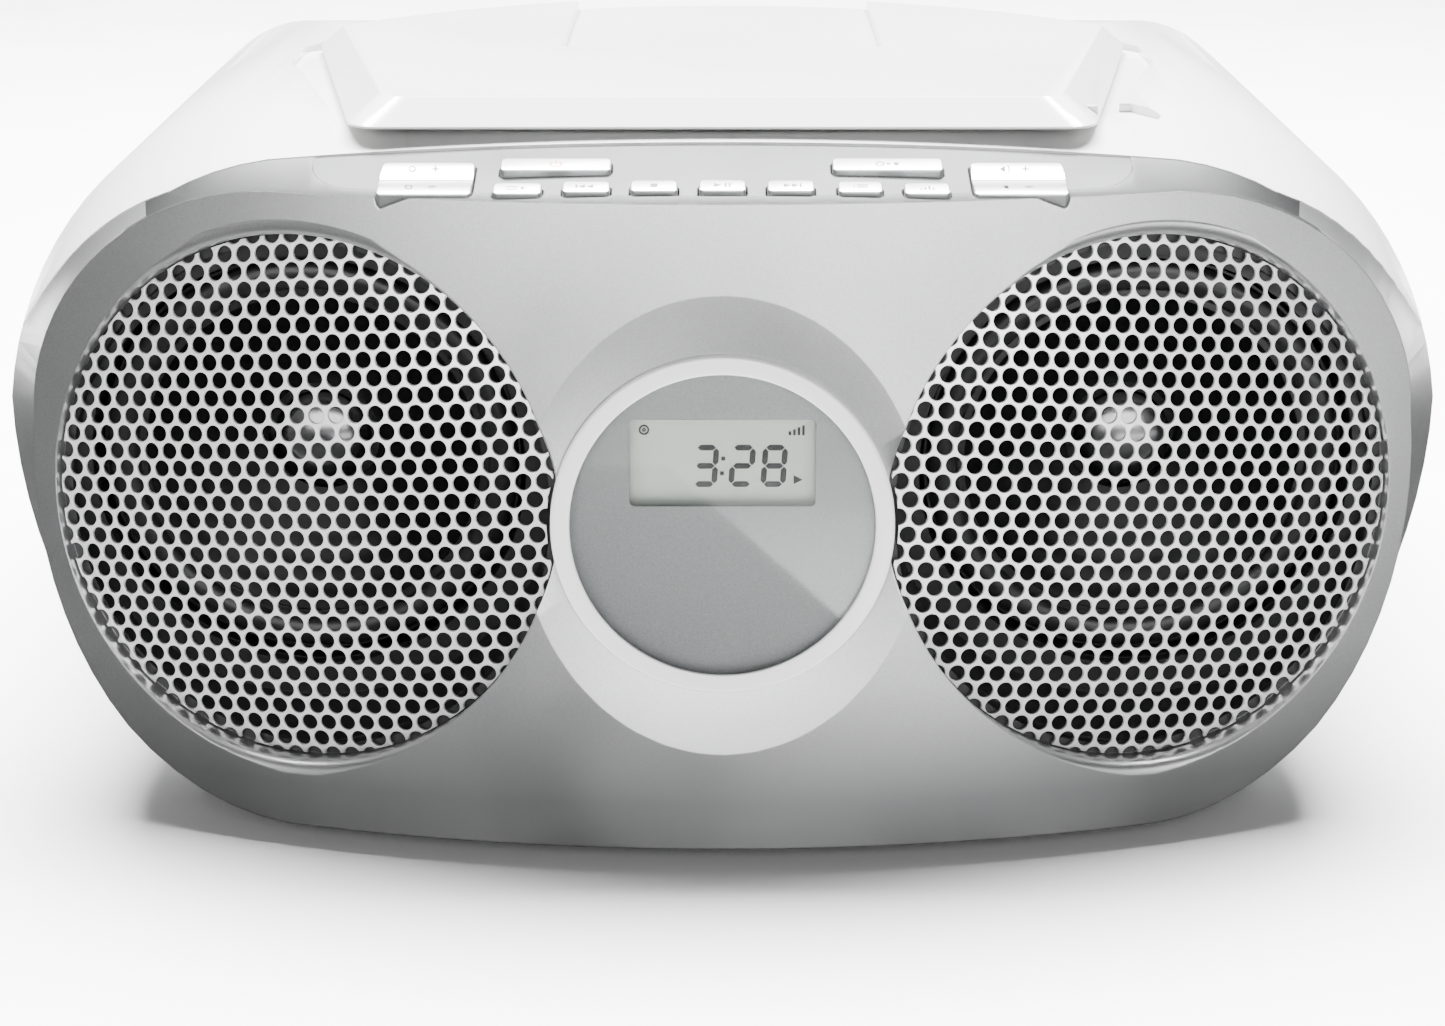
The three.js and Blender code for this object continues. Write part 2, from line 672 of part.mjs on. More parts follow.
function keyBoard() {
  const board = prismZ(roundedRect(136, 14, 2), -keyBoardDrop - 1.6, -keyBoardDrop, 2);
  const frame = new THREE.Matrix4().makeRotationX(stripSlope);
  const y = keyRows.full + 2;
  frame.setPosition(0, y, stripZ(0, y) - 1.4);
  return place(board, frame);
}

// ---------- disc drive ----------
const chassis = { x: 2, y: -22, w: 88, h: 104 };
const motorRadius = 12;
const motorHeight = 10;
const rodX = 15; // the two guide rods of the laser pickup
const rodZ = 124.6;
const rodRadius = 1.5;
const rodBlocks = [-69, 4]; // Y of the blocks that hold the rods
const blockHalf = 3.4;
const blockTopZ = 127;
const sledStartY = -24;
const sledHalf = 8.5;
const gear = { x: 27.6, y: -28, radius: 6, teeth: 14, tooth: 1.1, shaft: 1.5 };
const rackX = 19; // the rack runs along the pickup's right side

function rodBore(side) {
  return barY(side * rodX, rodZ, rodRadius + gap, rodBlocks[0] - 11, rodBlocks[1] + 16, 12);
}

function driveChassis() {
  const plate = prismZ(roundedRect(chassis.w, chassis.h, 8), chassisTopZ - chassisThickness, chassisTopZ, 4);
  let frame = plate.translate([chassis.x, chassis.y, 0]);
  for (const side of [-1, 1]) {
    const [left, right] = [side * rodX - blockHalf, side * rodX + blockHalf];
    for (const y of rodBlocks) {
      frame = frame.add(box(left, right, y - 2, y + 2, chassisTopZ - 1, blockTopZ));
    }
    frame = frame.subtract(rodBore(side));
  }
  const low = chassisTopZ - 20;
  frame = frame.subtract(barZ(0, 0, 5, low, rodZ, 24));
  return frame.subtract(barZ(gear.x, gear.y, gear.shaft + 0.7, low, rodZ, 16));
}

const guideRod = (side) => barY(side * rodX, rodZ, rodRadius, rodBlocks[0] - 1.5, rodBlocks[1] + 1.5, 12);

function spindleHub() {
  const shaftRadius = 1.6;
  const low = chassisTopZ - 1.5;
  const top = wellFloorZ + 2.6;
  return turned([[0, low], [shaftRadius, low], [shaftRadius, top - 2.4], [turntableRadius, top - 2],
    [turntableRadius, top], [hubRadius, top], [hubRadius, top + 1.8], [hubRadius - 2.8, top + 3],
    [0, top + 3]], 20);
}

function spindleMotor() {
  const top = chassisTopZ - chassisThickness - gap;
  return barZ(0, 0, motorRadius, top - motorHeight, top, 28);
}

function laserPickup() {
  const y = sledStartY;
  let sled = box(-rackX - 0.5, rackX + 0.5, y - sledHalf, y + sledHalf, chassisTopZ + 0.6, blockTopZ);
  sled = sled.add(barZ(0, y, 4, blockTopZ - 1, blockTopZ + 2.6, 20)); // the lens turret
  sled = sled.add(box(rackX, rackX + 2.6, gear.y - 3, gear.y + 37, chassisTopZ + 0.8, chassisTopZ + 2.3));
  return sled.subtract(rodBore(-1)).subtract(rodBore(1));
}

function sledGear() {
  const shape = new THREE.Shape();
  for (let i = 0; i < gear.teeth * 2; i += 1) {
    const radius = gear.radius - (i % 2 ? gear.tooth : gap);
    const angle = (i * Math.PI) / gear.teeth;
    const point = [radius * Math.cos(angle), radius * Math.sin(angle)];
    if (i === 0) shape.moveTo(...point);
    else shape.lineTo(...point);
  }
  const shaft = barZ(0, 0, gear.shaft, chassisTopZ - 1.6, chassisTopZ + 1, 12);
  const wheel = prismZ(shape, chassisTopZ + 0.8, chassisTopZ + 2.9).add(shaft);
  return wheel.translate([gear.x, gear.y, 0]);
}

function sledMotor() {
  const top = chassisTopZ - chassisThickness - gap;
  return barZ(gear.x, gear.y, 9, top - 17, top, 24);
}

// ---------- electrics ----------
const boardThickness = 1.6;

function mainBoard() {
  const seatZ = boardZ + boardThickness / 2; // pieces on the board start inside it
  const board = box(-60, 60, -42, 40, boardZ, boardZ + boardThickness);
  const heatSink = box(-50, -20, -10, -4, seatZ, boardZ + 22);
  const chip = box(30, 52, -30, -8, seatZ, boardZ + 5);
  const capacitors = [[10, 10], [26, 10], [10, -22]].map(([x, y]) => barZ(x, y, 5, seatZ, boardZ + 15, 14));
  return union(board, heatSink, chip, ...capacitors);
}

// An iron core around a winding, on a mounting plate.
function transformer() {
  const floorZ = bottomZ + wall + gap;
  const plate = box(58, 91, -12, 30, floorZ, floorZ + 3);
  const core = box(63, 88, -6, 24, floorZ + 2, floorZ + 30);
  const winding = box(66, 85, -10, 28, floorZ + 6, floorZ + 26);
  return union(plate, core, winding);
}

function mainsInlet() {
  const { x, z, half, tall } = inlet;
  const shroud = box(x - half, x + half, rearY - inlet.depth, rearY - 0.4, z - tall, z + tall);
  const socket = prismZ(roundedRect(17, 9, 4.4), -14, 4, 5);
  const facingRear = new THREE.Matrix4().makeRotationX(-Math.PI / 2).setPosition(x, rearY, z);
  const pins = [-4.3, 4.3].map((dx) => barY(x + dx, z, 1.15, rearY - 15, rearY - 6, 10));
  return union(shroud.subtract(place(socket, facingRear)), ...pins);
}

function audioJack() {
  const body = barY(jack.x, jack.z, jack.radius, rearY - jack.depth, rearY - 0.3, 20);
  return body.subtract(barY(jack.x, jack.z, jack.bore, rearY - jack.depth + 2, depth, 14));
}

// ---------- antenna, folded along the upper rear wall, pointing to -X ----------
const rodY = upperRearY + 5;
const tiltPinRadius = 1;
const forkHalf = 4.4;
const tongueHalf = forkHalf - 2.4; // the eye turns inside the fork
const tubeWall = 0.55;
const knobRadius = 3.2;

function antennaBase() {
  const shaft = barY(antennaX, antennaZ, antennaShaftRadius, upperRearY - 8, upperRearY + 1, 16);
  const collar = barY(antennaX, antennaZ, antennaShaftRadius + 2, upperRearY + gap, upperRearY + 1.6, 20);
  const [low, high] = [antennaZ - forkHalf, antennaZ + forkHalf];
  const fork = box(antennaX - 4, antennaX + 4, upperRearY + 1, rodY + 3.6, low, high);
  const [slotLow, slotHigh] = [antennaZ - tongueHalf - 0.4, antennaZ + tongueHalf + 0.4];
  const slot = box(antennaX - 10, antennaX + 10, upperRearY + 1.9, depth, slotLow, slotHigh);
  const pin = barZ(antennaX, rodY, tiltPinRadius, low, high, 12);
  return union(shaft, collar, fork.subtract(slot), pin);
}

function antennaSection(index) {
  const radius = sectionRadii[index];
  const tipX = antennaX - 8 - sectionLength;
  const start = antennaX - 8 - index * 3;
  const rod = barX(rodY, antennaZ, radius, tipX, start, 16);
  const bore = barX(rodY, antennaZ, radius - tubeWall, tipX - 5, start - 3 + gap, 16);
  if (index === 0) {
    const [low, high] = [antennaZ - tongueHalf, antennaZ + tongueHalf];
    const eye = barZ(antennaX, rodY, 2.8, low, high, 16);
    const neck = box(start - 2, antennaX, rodY - 1.6, rodY + 1.6, low, high);
    return union(rod.subtract(bore), eye, neck)
      .subtract(barZ(antennaX, rodY, tiltPinRadius + gap, low - 3, high + 3, 12));
  }
  if (index === 1) {
    return rod.subtract(bore);
  }
  const stem = barX(rodY, antennaZ, radius, tipX - 1, tipX + 1, 16);
  return union(rod, stem, barX(rodY, antennaZ, knobRadius, tipX - 7, tipX - gap, 16));
}

// ---------- assembly ----------
const looks = {
  silver: { color: 0xc9cacb, roughness: 0.35, metalness: 0.6 },
  white: { color: 0xf3f3f2, roughness: 0.2, metalness: 0 },
  steel: { color: 0xd6d7d8, roughness: 0.3, metalness: 1 },
  key: { color: 0xb3b4b5, roughness: 0.4, metalness: 0.5 },
  dark: { color: 0x1b1b1c, roughness: 0.6, metalness: 0 },
  gloss: { color: 0x0c0c0d, roughness: 0.15, metalness: 0 },
  rubber: { color: 0x2a2a2b, roughness: 0.85, metalness: 0 },
  clear: { color: 0xe8ecee, roughness: 0.05, metalness: 0 },
  lcd: { color: 0xb9c0b6, roughness: 0.3, metalness: 0 },
  board: { color: 0x2d5b3a, roughness: 0.6, metalness: 0 },
  copper: { color: 0xb87a4a, roughness: 0.4, metalness: 0.9 },
};

const group = new THREE.Group();

function addPart(name, shape, look, matrix) {
  const placed = matrix ? place(shape, matrix) : shape;
  const { vertProperties, triVerts } = placed.getMesh();
  const geometry = new THREE.BufferGeometry();
  geometry.setAttribute('position', new THREE.BufferAttribute(vertProperties, 3));
  geometry.setIndex(new THREE.BufferAttribute(triVerts, 1));
  geometry.computeVertexNormals();
  const material = new THREE.MeshStandardMaterial({ ...looks[look], flatShading: true });
  const mesh = new THREE.Mesh(geometry, material);
  mesh.name = name;
  group.add(mesh);
}

addPart('front_fascia', frontFascia(), 'silver');
addPart('top_cover', topCover(), 'white');
addPart('rear_cabinet', rearCabinet(), 'white');
addPart('carry_handle', carryHandle(), 'white');
addPart('battery_tray', batteryTray(), 'white');
addPart('battery_door', batteryDoorPlate(), 'white');
footPlaces.forEach((spot, index) => addPart(`foot_${index + 1}`, foot(spot), 'rubber'));

addPart('cd_door', cdDoor(), 'white');
addPart('hinge_pin_left', hingePin(-1), 'steel');
addPart('hinge_pin_right', hingePin(1), 'steel');

addPart('display_bezel', displayBezel(), 'white', displayFrame);
addPart('display_plate', displayPlate(), 'silver', displayFrame);
addPart('display_lens', displayLens(), 'clear', displayFrame);
addPart('lcd_glass', lcdGlass(), 'lcd', displayFrame);
addPart('display_board', displayBoard(), 'board', displayFrame);

keys.forEach((key) => addPart(key.name, keyCap(key), 'key'));
addPart('key_board', keyBoard(), 'board');

for (const side of ['left', 'right']) {
  addPart(`${side}_grille`, trimmedGrille(speakerFrames[side]), 'steel');
  addPart(`${side}_basket`, basket(), 'dark', driverFrames[side]);
  addPart(`${side}_cone`, cone(), 'gloss', driverFrames[side]);
  addPart(`${side}_dust_cap`, dustCap(), 'steel', driverFrames[side]);
  addPart(`${side}_magnet`, magnet(), 'dark', driverFrames[side]);
}

addPart('drive_chassis', driveChassis(), 'steel');
addPart('guide_rod_left', guideRod(-1), 'steel');
addPart('guide_rod_right', guideRod(1), 'steel');
addPart('spindle_hub', spindleHub(), 'dark');
addPart('spindle_motor', spindleMotor(), 'steel');
addPart('laser_pickup', laserPickup(), 'dark');
addPart('sled_gear', sledGear(), 'white');
addPart('sled_motor', sledMotor(), 'steel');

addPart('main_board', mainBoard(), 'board');
addPart('transformer', transformer(), 'copper');
addPart('mains_inlet', mainsInlet(), 'dark');
addPart('audio_in_jack', audioJack(), 'dark');

addPart('antenna_base', antennaBase(), 'steel');
addPart('antenna_outer', antennaSection(0), 'steel');
addPart('antenna_middle', antennaSection(1), 'steel');
addPart('antenna_tip', antennaSection(2), 'steel');

export default group;
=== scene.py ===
# The portable CD radio as it looks: smooth casing, perforated grilles, keys, display and drive.
import math

import bmesh
import bpy
from mathutils import Matrix, Vector


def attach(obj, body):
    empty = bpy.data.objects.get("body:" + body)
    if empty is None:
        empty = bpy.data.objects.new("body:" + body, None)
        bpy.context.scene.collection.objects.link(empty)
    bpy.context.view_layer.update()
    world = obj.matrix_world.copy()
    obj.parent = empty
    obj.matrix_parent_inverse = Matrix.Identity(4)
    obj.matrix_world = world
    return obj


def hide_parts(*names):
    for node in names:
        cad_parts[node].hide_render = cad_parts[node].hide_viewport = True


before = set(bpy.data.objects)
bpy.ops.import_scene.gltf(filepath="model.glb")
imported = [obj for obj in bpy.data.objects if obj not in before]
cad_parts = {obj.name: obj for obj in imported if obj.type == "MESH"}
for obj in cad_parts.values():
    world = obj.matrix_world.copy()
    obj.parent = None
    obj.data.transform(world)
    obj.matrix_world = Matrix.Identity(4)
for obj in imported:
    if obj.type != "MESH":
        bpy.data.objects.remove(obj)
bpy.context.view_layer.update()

MM = 0.001

# ---------- sizes, in millimetres, as the CAD model has them ----------
WIDTH, DEPTH = 302, 235
WALL = 2.6
GAP = 0.35
BOTTOM_Z, WIDEST_Z, SHOULDER_Z = 4.85, 84, 143
BASE_HALF, SHOULDER_HALF = 90, 95
LEAN = math.radians(9)
BOW_RADIUS = 368
DISPLAY_Z = 70.5
FACE_Y = -DEPTH / 2 + (DISPLAY_Z - BOTTOM_Z) * math.tan(LEAN)
RIDGE_DROP, RIDGE_INSET = 9.3, 8
STRIP_DEPTH, SIDE_BAND = 33, 9
SEAM_Y, SEAM_SIDE_Y, SEAM_HALF = -72, -56, 112
REAR_Y, REAR_HALF, REAR_STEP, REAR_STEP_Z = DEPTH / 2, 110, 9.5, WIDEST_Z
UPPER_REAR_Y = REAR_Y - REAR_STEP
SPEAKER_X, SPEAKER_Z = 86.9, 71.8
OPENING_R, RIM_WIDTH, RIM_DEPTH = 54.2, 2.9, 5.9
GRILLE_THICK, GRILLE_DOME = 1.2, 5
DRIVER_SETBACK, CONE_R, CONE_DEPTH, CAP_R = 26, 44, 17, 10.5
DISH_R, DISH_DEPTH, BEZEL_R, PLATE_R = 46.4, 4, 34.7, 31.2
BEZEL_TOP = 1.4 - DISH_DEPTH
LENS_TOP = BEZEL_TOP - 0.5
LCD_W, LCD_H, LCD_RISE = 37, 17.5, 12.5
LID_FRONT_Y, LID_FRONT_HALF, LID_SIDE_HALF = -64, 69, 89.5
LID_ARC_R, LID_ARC_Y, LID_TOP_Z, LID_BASE_Z, LID_BEVEL, LID_WALL = 117.7, -55, 148, 142.6, 6, 2.4
HINGE_X, HINGE_Y, HINGE_Z = 64, 68, 137
RECESS_Z = 141.2
WELL_R, WELL_Z = 63, 129.4
POCKET_HALF, POCKET_Y, POCKET_Z = 54, 70.5, 104


# ---------- mesh helpers ----------
def make(name, verts, faces, sharp=32):
    mesh = bpy.data.meshes.new(name)
    mesh.from_pydata([Vector(v) * MM for v in verts], [], faces)
    obj = bpy.data.objects.new(name, mesh)
    bpy.context.scene.collection.objects.link(obj)
    bm = bmesh.new()
    bm.from_mesh(mesh)
    bmesh.ops.recalc_face_normals(bm, faces=bm.faces)
    bm.to_mesh(mesh)
    bm.free()
    tidy(obj, sharp)
    return obj


def tidy(obj, sharp=32):
    """Smooth shading, with sharp edges where the surface turns."""
    bm = bmesh.new()
    bm.from_mesh(obj.data)
    for face in bm.faces:
        face.smooth = True
    for edge in bm.edges:
        if len(edge.link_faces) == 2:
            edge.smooth = edge.calc_face_angle(0) < math.radians(sharp)
    bm.to_mesh(obj.data)
    bm.free()


def rings_to_mesh(name, rings, matrix=None, closed=True, sharp=32):
    """Skins a list of equal rings of points; caps both ends, or joins the last ring to the first."""
    count = len(rings[0])
    verts = [Vector(p) for ring in rings for p in ring]
    if matrix is not None:
        verts = [matrix @ v for v in verts]
    faces = []
    for k in range(len(rings) - 1):
        a, b = k * count, (k + 1) * count
        faces += [(a + i, a + (i + 1) % count, b + (i + 1) % count, b + i) for i in range(count)]
    if closed:
        last = (len(rings) - 1) * count
        faces.append(tuple(range(count - 1, -1, -1)))
        faces.append(tuple(range(last, last + count)))
    else:
        last = (len(rings) - 1) * count
        faces += [(last + i, last + (i + 1) % count, (i + 1) % count, i) for i in range(count)]
    return make(name, verts, faces, sharp)


def lathe(name, profile, count=96, matrix=None, sharp=32):
    """Turns a [radius, height] profile about local Z. A profile that starts off the axis is a ring."""
    solid = profile[0][0] == 0
    body = profile[1:-1] if solid else profile
    rings = []
    for radius, height in body:
        ring = []
        for i in range(count):
            turn = 2 * math.pi * i / count
            ring.append((radius * math.cos(turn), radius * math.sin(turn), height))
        rings.append(ring)
    return rings_to_mesh(name, rings, matrix, closed=solid, sharp=sharp)


def prism(name, outline, low, high, matrix=None, sharp=32):
    rings = [[(x, y, low) for x, y in outline], [(x, y, high) for x, y in outline]]
    return rings_to_mesh(name, rings, matrix, sharp=sharp)


def cube(name, x0, x1, y0, y1, z0, z1):
    return prism(name, [(x0, y0), (x1, y0), (x1, y1), (x0, y1)], z0, z1)


def evaluated(obj):
    graph = bpy.context.evaluated_depsgraph_get()
    return bpy.data.meshes.new_from_object(obj.evaluated_get(graph), depsgraph=graph)


def boolean(target, tool, operation, keep_tool=False, sharp=32):
    step = target.modifiers.new("join", "BOOLEAN")
    step.operation, step.object, step.solver = operation, tool, "MANIFOLD"
    bpy.context.view_layer.update()
    result = evaluated(target)
    target.modifiers.clear()
    old = target.data
    target.data = result
    bpy.data.meshes.remove(old)
    if not keep_tool:
        bpy.data.objects.remove(tool)
    tidy(target, sharp)
    return target


def add(target, tool, **kw):
    return boolean(target, tool, "UNION", **kw)


def cut(target, tool, **kw):
    return boolean(target, tool, "DIFFERENCE", **kw)


def keep(target, tool, **kw):
    return boolean(target, tool, "INTERSECT", **kw)


def copy_of(obj, name):
    twin = obj.copy()
    twin.data = obj.data.copy()
    twin.name = name
    bpy.context.scene.collection.objects.link(twin)
    return twin


def rounded(w, h, r, steps=5):
    points = []
    for cx, cy, start in ((1, -1, -90), (1, 1, 0), (-1, 1, 90), (-1, -1, 180)):
        for i in range(steps + 1):
            turn = math.radians(start + 90 * i / steps)
            points.append((cx * (w / 2 - r) + r * math.cos(turn), cy * (h / 2 - r) + r * math.sin(turn)))
    return points


def bezier(a, b, c, d, steps):
    """Points along a cubic curve, without its first point."""
    points = []
    for i in range(1, steps + 1):
        t = i / steps
        s = 1 - t
        points.append(tuple(s ** 3 * a[k] + 3 * s * s * t * b[k] + 3 * s * t * t * c[k] + t ** 3 * d[k]
                            for k in range(2)))
    return points


def pillow(name, outline, low, high, edge=0.4, matrix=None):
    """A cap with softly rounded upper edges: the outline shrinks a little as it nears the top."""
    centre = Vector((sum(x for x, _ in outline) / len(outline), sum(y for _, y in outline) / len(outline)))
    rings = [[(x, y, low) for x, y in outline]]
    for i in range(5):
        turn = math.radians(22.5 * i)
        inset = edge * (1 - math.cos(turn))
        ring = []
        for x, y in outline:
            away = Vector((x, y)) - centre
            shrink = Vector((min(inset, abs(away.x)), min(inset, abs(away.y))))
            sx, sy = math.copysign(shrink.x, away.x), math.copysign(shrink.y, away.y)
            ring.append((x - sx, y - sy, high - edge + edge * math.sin(turn)))
        rings.append(ring)
    return rings_to_mesh(name, rings, matrix, sharp=40)


# ---------- the casing's surfaces ----------
def bow(x):
    return BOW_RADIUS - math.sqrt(BOW_RADIUS ** 2 - x * x)


def face_at(x, z):
    return FACE_Y + bow(x) + (z - DISPLAY_Z) * math.tan(LEAN)


RIDGE_Y = face_at(0, SHOULDER_Z)


def section(inset, steps):
    side, low, high = WIDTH / 2 - inset, BOTTOM_Z + inset, SHOULDER_Z - inset
    flat = steps * 2
    half = [(BASE_HALF * i / flat, low) for i in range(flat + 1)]
    half += bezier((BASE_HALF, low), (BASE_HALF + 36, low + 2), (side, 46), (side, WIDEST_Z), steps)
    half += bezier((side, WIDEST_Z), (side, 112), (128 - inset, high - 2), (SHOULDER_HALF, high), steps)
    half += [(SHOULDER_HALF * (1 - i / flat), high) for i in range(1, flat + 1)]
    return half + [(-x, z) for x, z in half[-2:0:-1]]


def swept(name, inset, steps):
    """The section swept back, with its upper front edge drawn in to make the key strip."""
    rings = [[], [], [], []]
    for x, z in section(inset, steps):
        rise = max(0, (z - WIDEST_Z) / (SHOULDER_Z - WIDEST_Z))
        band = SIDE_BAND + (STRIP_DEPTH - SIDE_BAND) * rise
        fade = max(0, min(1, (z - 20) / 64))
        nx, nz = x * (1 - fade * RIDGE_INSET / (WIDTH / 2)), z - rise * RIDGE_DROP
        face = face_at(x, z)
        rings[0].append((nx, -DEPTH, nz))
        rings[1].append((nx, face, nz))
        rings[2].append((x, face + band, z))
        rings[3].append((x, REAR_Y + 20, z))
    return rings_to_mesh(name, rings)


def casing(name, inset, steps):
    solid = swept(name, inset, steps)
    lean = Matrix(((1, 0, 0, 0), (0, 1, math.tan(LEAN), FACE_Y + BOW_RADIUS),
                   (0, 0, 1, DISPLAY_Z), (0, 0, 0, 1)))
    radius = BOW_RADIUS - inset
    keep(solid, lathe("bowed", [(0, -90), (radius, -90), (radius, 90), (0, 90)], steps * 24, lean))
    half, rear = WIDTH / 2 + 1 - inset, REAR_Y - inset
    side = bezier((half, 42), (half, 84), (half - 6, rear), (REAR_HALF - inset, rear), steps)
    plan = [(half, -DEPTH), (half, 42)] + side
    plan += [(-x, y) for x, y in reversed(plan)]
    keep(solid, prism("plan", plan, -10, SHOULDER_Z + 20))
    low, back = BOTTOM_Z + inset, UPPER_REAR_Y - inset
    profile = [(-DEPTH, low)]
    for i in range(steps + 1):
        turn = math.radians(-90 + 90 * i / steps)
        profile.append((rear - 10 + 10 * math.cos(turn), low + 10 + 10 * math.sin(turn)))
    profile += [(rear, REAR_STEP_Z - inset), (back, REAR_STEP_Z - inset), (back, 108)]
    high = SHOULDER_Z - inset
    profile += bezier((back, 108), (back, 132), (82, high), (48, high), steps)
    profile.append((-DEPTH, high))
    along_x = Matrix(((0, 0, 1, 0), (1, 0, 0, 0), (0, 1, 0, 0), (0, 0, 0, 1)))
    keep(solid, prism("side", profile, -WIDTH, WIDTH, along_x))
    return solid


def behind_seam(shift):
    y, side_y, far = SEAM_Y + shift, SEAM_SIDE_Y + shift, WIDTH / 2
    outline = [(-SEAM_HALF, y), (SEAM_HALF, y), (far, side_y),
               (far + 5, DEPTH), (-far - 5, DEPTH), (-far, side_y)]
    return prism("behind", outline, -10, SHOULDER_Z + 20)


def face_frame(x, z):
    """Local Z out of the face, local Y up it."""
    turn = math.asin(x / BOW_RADIUS)
    spin = Matrix.Rotation(turn, 4, "Z") @ Matrix.Rotation(math.pi / 2 - LEAN, 4, "X")
    return Matrix.Translation((x, face_at(x, z), z)) @ spin


DISPLAY = face_frame(0, DISPLAY_Z)
SPEAKERS = {"left": face_frame(-SPEAKER_X, SPEAKER_Z), "right": face_frame(SPEAKER_X, SPEAKER_Z)}


def driver_frame(x):
    place = Matrix.Translation((x, face_at(x, SPEAKER_Z) + DRIVER_SETBACK, SPEAKER_Z))
    return place @ Matrix.Rotation(math.pi / 2, 4, "X")


DRIVERS = {"left": driver_frame(-SPEAKER_X), "right": driver_frame(SPEAKER_X)}

# ---------- keys ----------
SLOPE = math.atan(RIDGE_DROP / STRIP_DEPTH)
ROWS = {"front": RIDGE_Y + 5.2, "rear": RIDGE_Y + 14.2, "full": RIDGE_Y + 10.4}
KEYS = [
    ("preset_rocker", -58.2, "full", 18.4, 13), ("power_button", -32.9, "rear", 21.8, 5),
    ("mode_button", -39.9, "front", 9.4, 4.4), ("previous_button", -26.5, "front", 9.2, 4.4),
    ("stop_button", -13.3, "front", 9.1, 4.4), ("play_button", 0, "front", 9.1, 4.4),
    ("next_button", 13.3, "front", 9.1, 4.4), ("source_button", 32.6, "rear", 21.8, 5),
    ("program_button", 26.8, "front", 8.6, 4.4), ("bass_button", 39.8, "front", 8.9, 4.4),
    ("volume_rocker", 58.2, "full", 18.4, 13),
]
KEY_PROUD = 0.9


def strip_z(x, y):
    return SHOULDER_Z - RIDGE_DROP * (1 - (y - RIDGE_Y - bow(x)) / STRIP_DEPTH)


def key_frame(x, row):
    y = ROWS[row]
    return Matrix.Translation((x, y, strip_z(x, y))) @ Matrix.Rotation(SLOPE, 4, "X")


# ---------- front fascia ----------
def rim_profile(frame_radius):
    """The lip of an opening: a rounded bevel that runs down to a straight bore."""
    lip = [(frame_radius, -RIM_DEPTH - GRILLE_THICK - GAP), (frame_radius, -RIM_WIDTH)]
    for i in range(1, 7):
        turn = math.radians(15 * i)
        lip.append((frame_radius + RIM_WIDTH * (1 - math.cos(turn)) * 0.9,
                    -RIM_WIDTH + RIM_WIDTH * math.sin(turn) * 0.9))
    lip.append((frame_radius + RIM_WIDTH + 14, 20))
    return lip


def bowed_normals(obj):
    """Shades the leaning, bowed face exactly, however its polygons are cut up."""
    mesh = obj.data
    normals = [Vector(corner.vector) for corner in mesh.corner_normals]
    points = [vert.co / MM for vert in mesh.vertices]
    for face in mesh.polygons:
        if face.normal.y > -0.9:
            continue
        for loop in face.loop_indices:
            x, y, z = points[mesh.loops[loop].vertex_index]
            if abs(y - face_at(x, z)) > 0.08:
                continue
            turn = x / math.sqrt(BOW_RADIUS ** 2 - x * x)
            exact = Vector((turn, -1, math.tan(LEAN))).normalized()
            if exact.dot(face.normal) > 0.998:
                normals[loop] = exact
    mesh.normals_split_custom_set(normals)
    return obj


def panel_cut():
    """The shallow recess in the key strip that the keys stand in."""
    half, corner, depth = 82, 9, 0.5
    rings = []
    for i in range(83):
        x = half * math.sin(math.pi / 2 * (i - 41) / 41)
        over = max(0, abs(x) - half + corner)
        front = RIDGE_Y + bow(x) + 2.6 + corner - math.sqrt(max(0, corner ** 2 - over ** 2))
        back = SEAM_Y + 4
        rings.append([(x, front, strip_z(x, front) - depth), (x, back, strip_z(x, back) - depth),
                      (x, back, SHOULDER_Z + 9), (x, front - 0.6, strip_z(x, front) + 3)])
    return rings_to_mesh("panel", rings)


def make_fascia(outer, inner):
    fascia = copy_of(outer, "fascia")
    cut(fascia, inner, keep_tool=True)
    cut(fascia, behind_seam(-GAP / 2))
    parts = []
    dish = lathe("dish", [(0, -DISH_DEPTH - WALL), (BEZEL_R + WALL, -DISH_DEPTH - WALL),
                          (DISH_R + WALL, -0.5), (0, -0.5)], 128, DISPLAY)
    parts.append(dish)
    for place in SPEAKERS.values():
        parts.append(lathe("rim", [(0, -RIM_DEPTH - 3), (OPENING_R + WALL, -RIM_DEPTH - 3),
                                   (OPENING_R + WALL, 0), (0, 0)], 160, place))
    tube, seat = OPENING_R + WALL / 2, CONE_R + 1.5
    for place in DRIVERS.values():
        parts.append(lathe("chamber", [(seat, GAP), (tube, GAP), (tube, DRIVER_SETBACK),
                                       (tube - WALL, DRIVER_SETBACK), (tube - WALL, GAP + WALL),
                                       (seat, GAP + WALL)], 128, place))
    for part in parts:
        keep(part, outer, keep_tool=True)
        add(fascia, part)
    spread = (DISH_R - BEZEL_R) / DISH_DEPTH
    cut(fascia, lathe("dish_cut", [(0, -DISH_DEPTH), (BEZEL_R, -DISH_DEPTH), (DISH_R + spread * 4, 4), (0, 4)],
                      160, DISPLAY))
    cut(fascia, lathe("hole", [(0, -40), (PLATE_R + 0.6, -40), (PLATE_R + 0.6, 20), (0, 20)], 128, DISPLAY))
    for place in SPEAKERS.values():
        cut(fascia, lathe("bore", [(0, -RIM_DEPTH - 3.3), (OPENING_R - 2, -RIM_DEPTH - 3.3),
                                   (OPENING_R - 2, 0), (0, 0)], 160, place))
        lip = [(0, -RIM_DEPTH - GRILLE_THICK - GAP)] + rim_profile(OPENING_R) + [(0, 20)]
        cut(fascia, lathe("lip", lip, 192, place))
    cut(fascia, panel_cut())
    for name, x, row, w, h in KEYS:
        hole = rounded(w + 2 * GAP, h + 2 * GAP, 1 + GAP)
        cut(fascia, prism("key_hole", hole, -9, 5, key_frame(x, row)))
    return bowed_normals(fascia)


# ---------- white covers ----------
def mirrored(half):
    return half + [(-x, y) for x, y in reversed(half) if x > 1e-6]


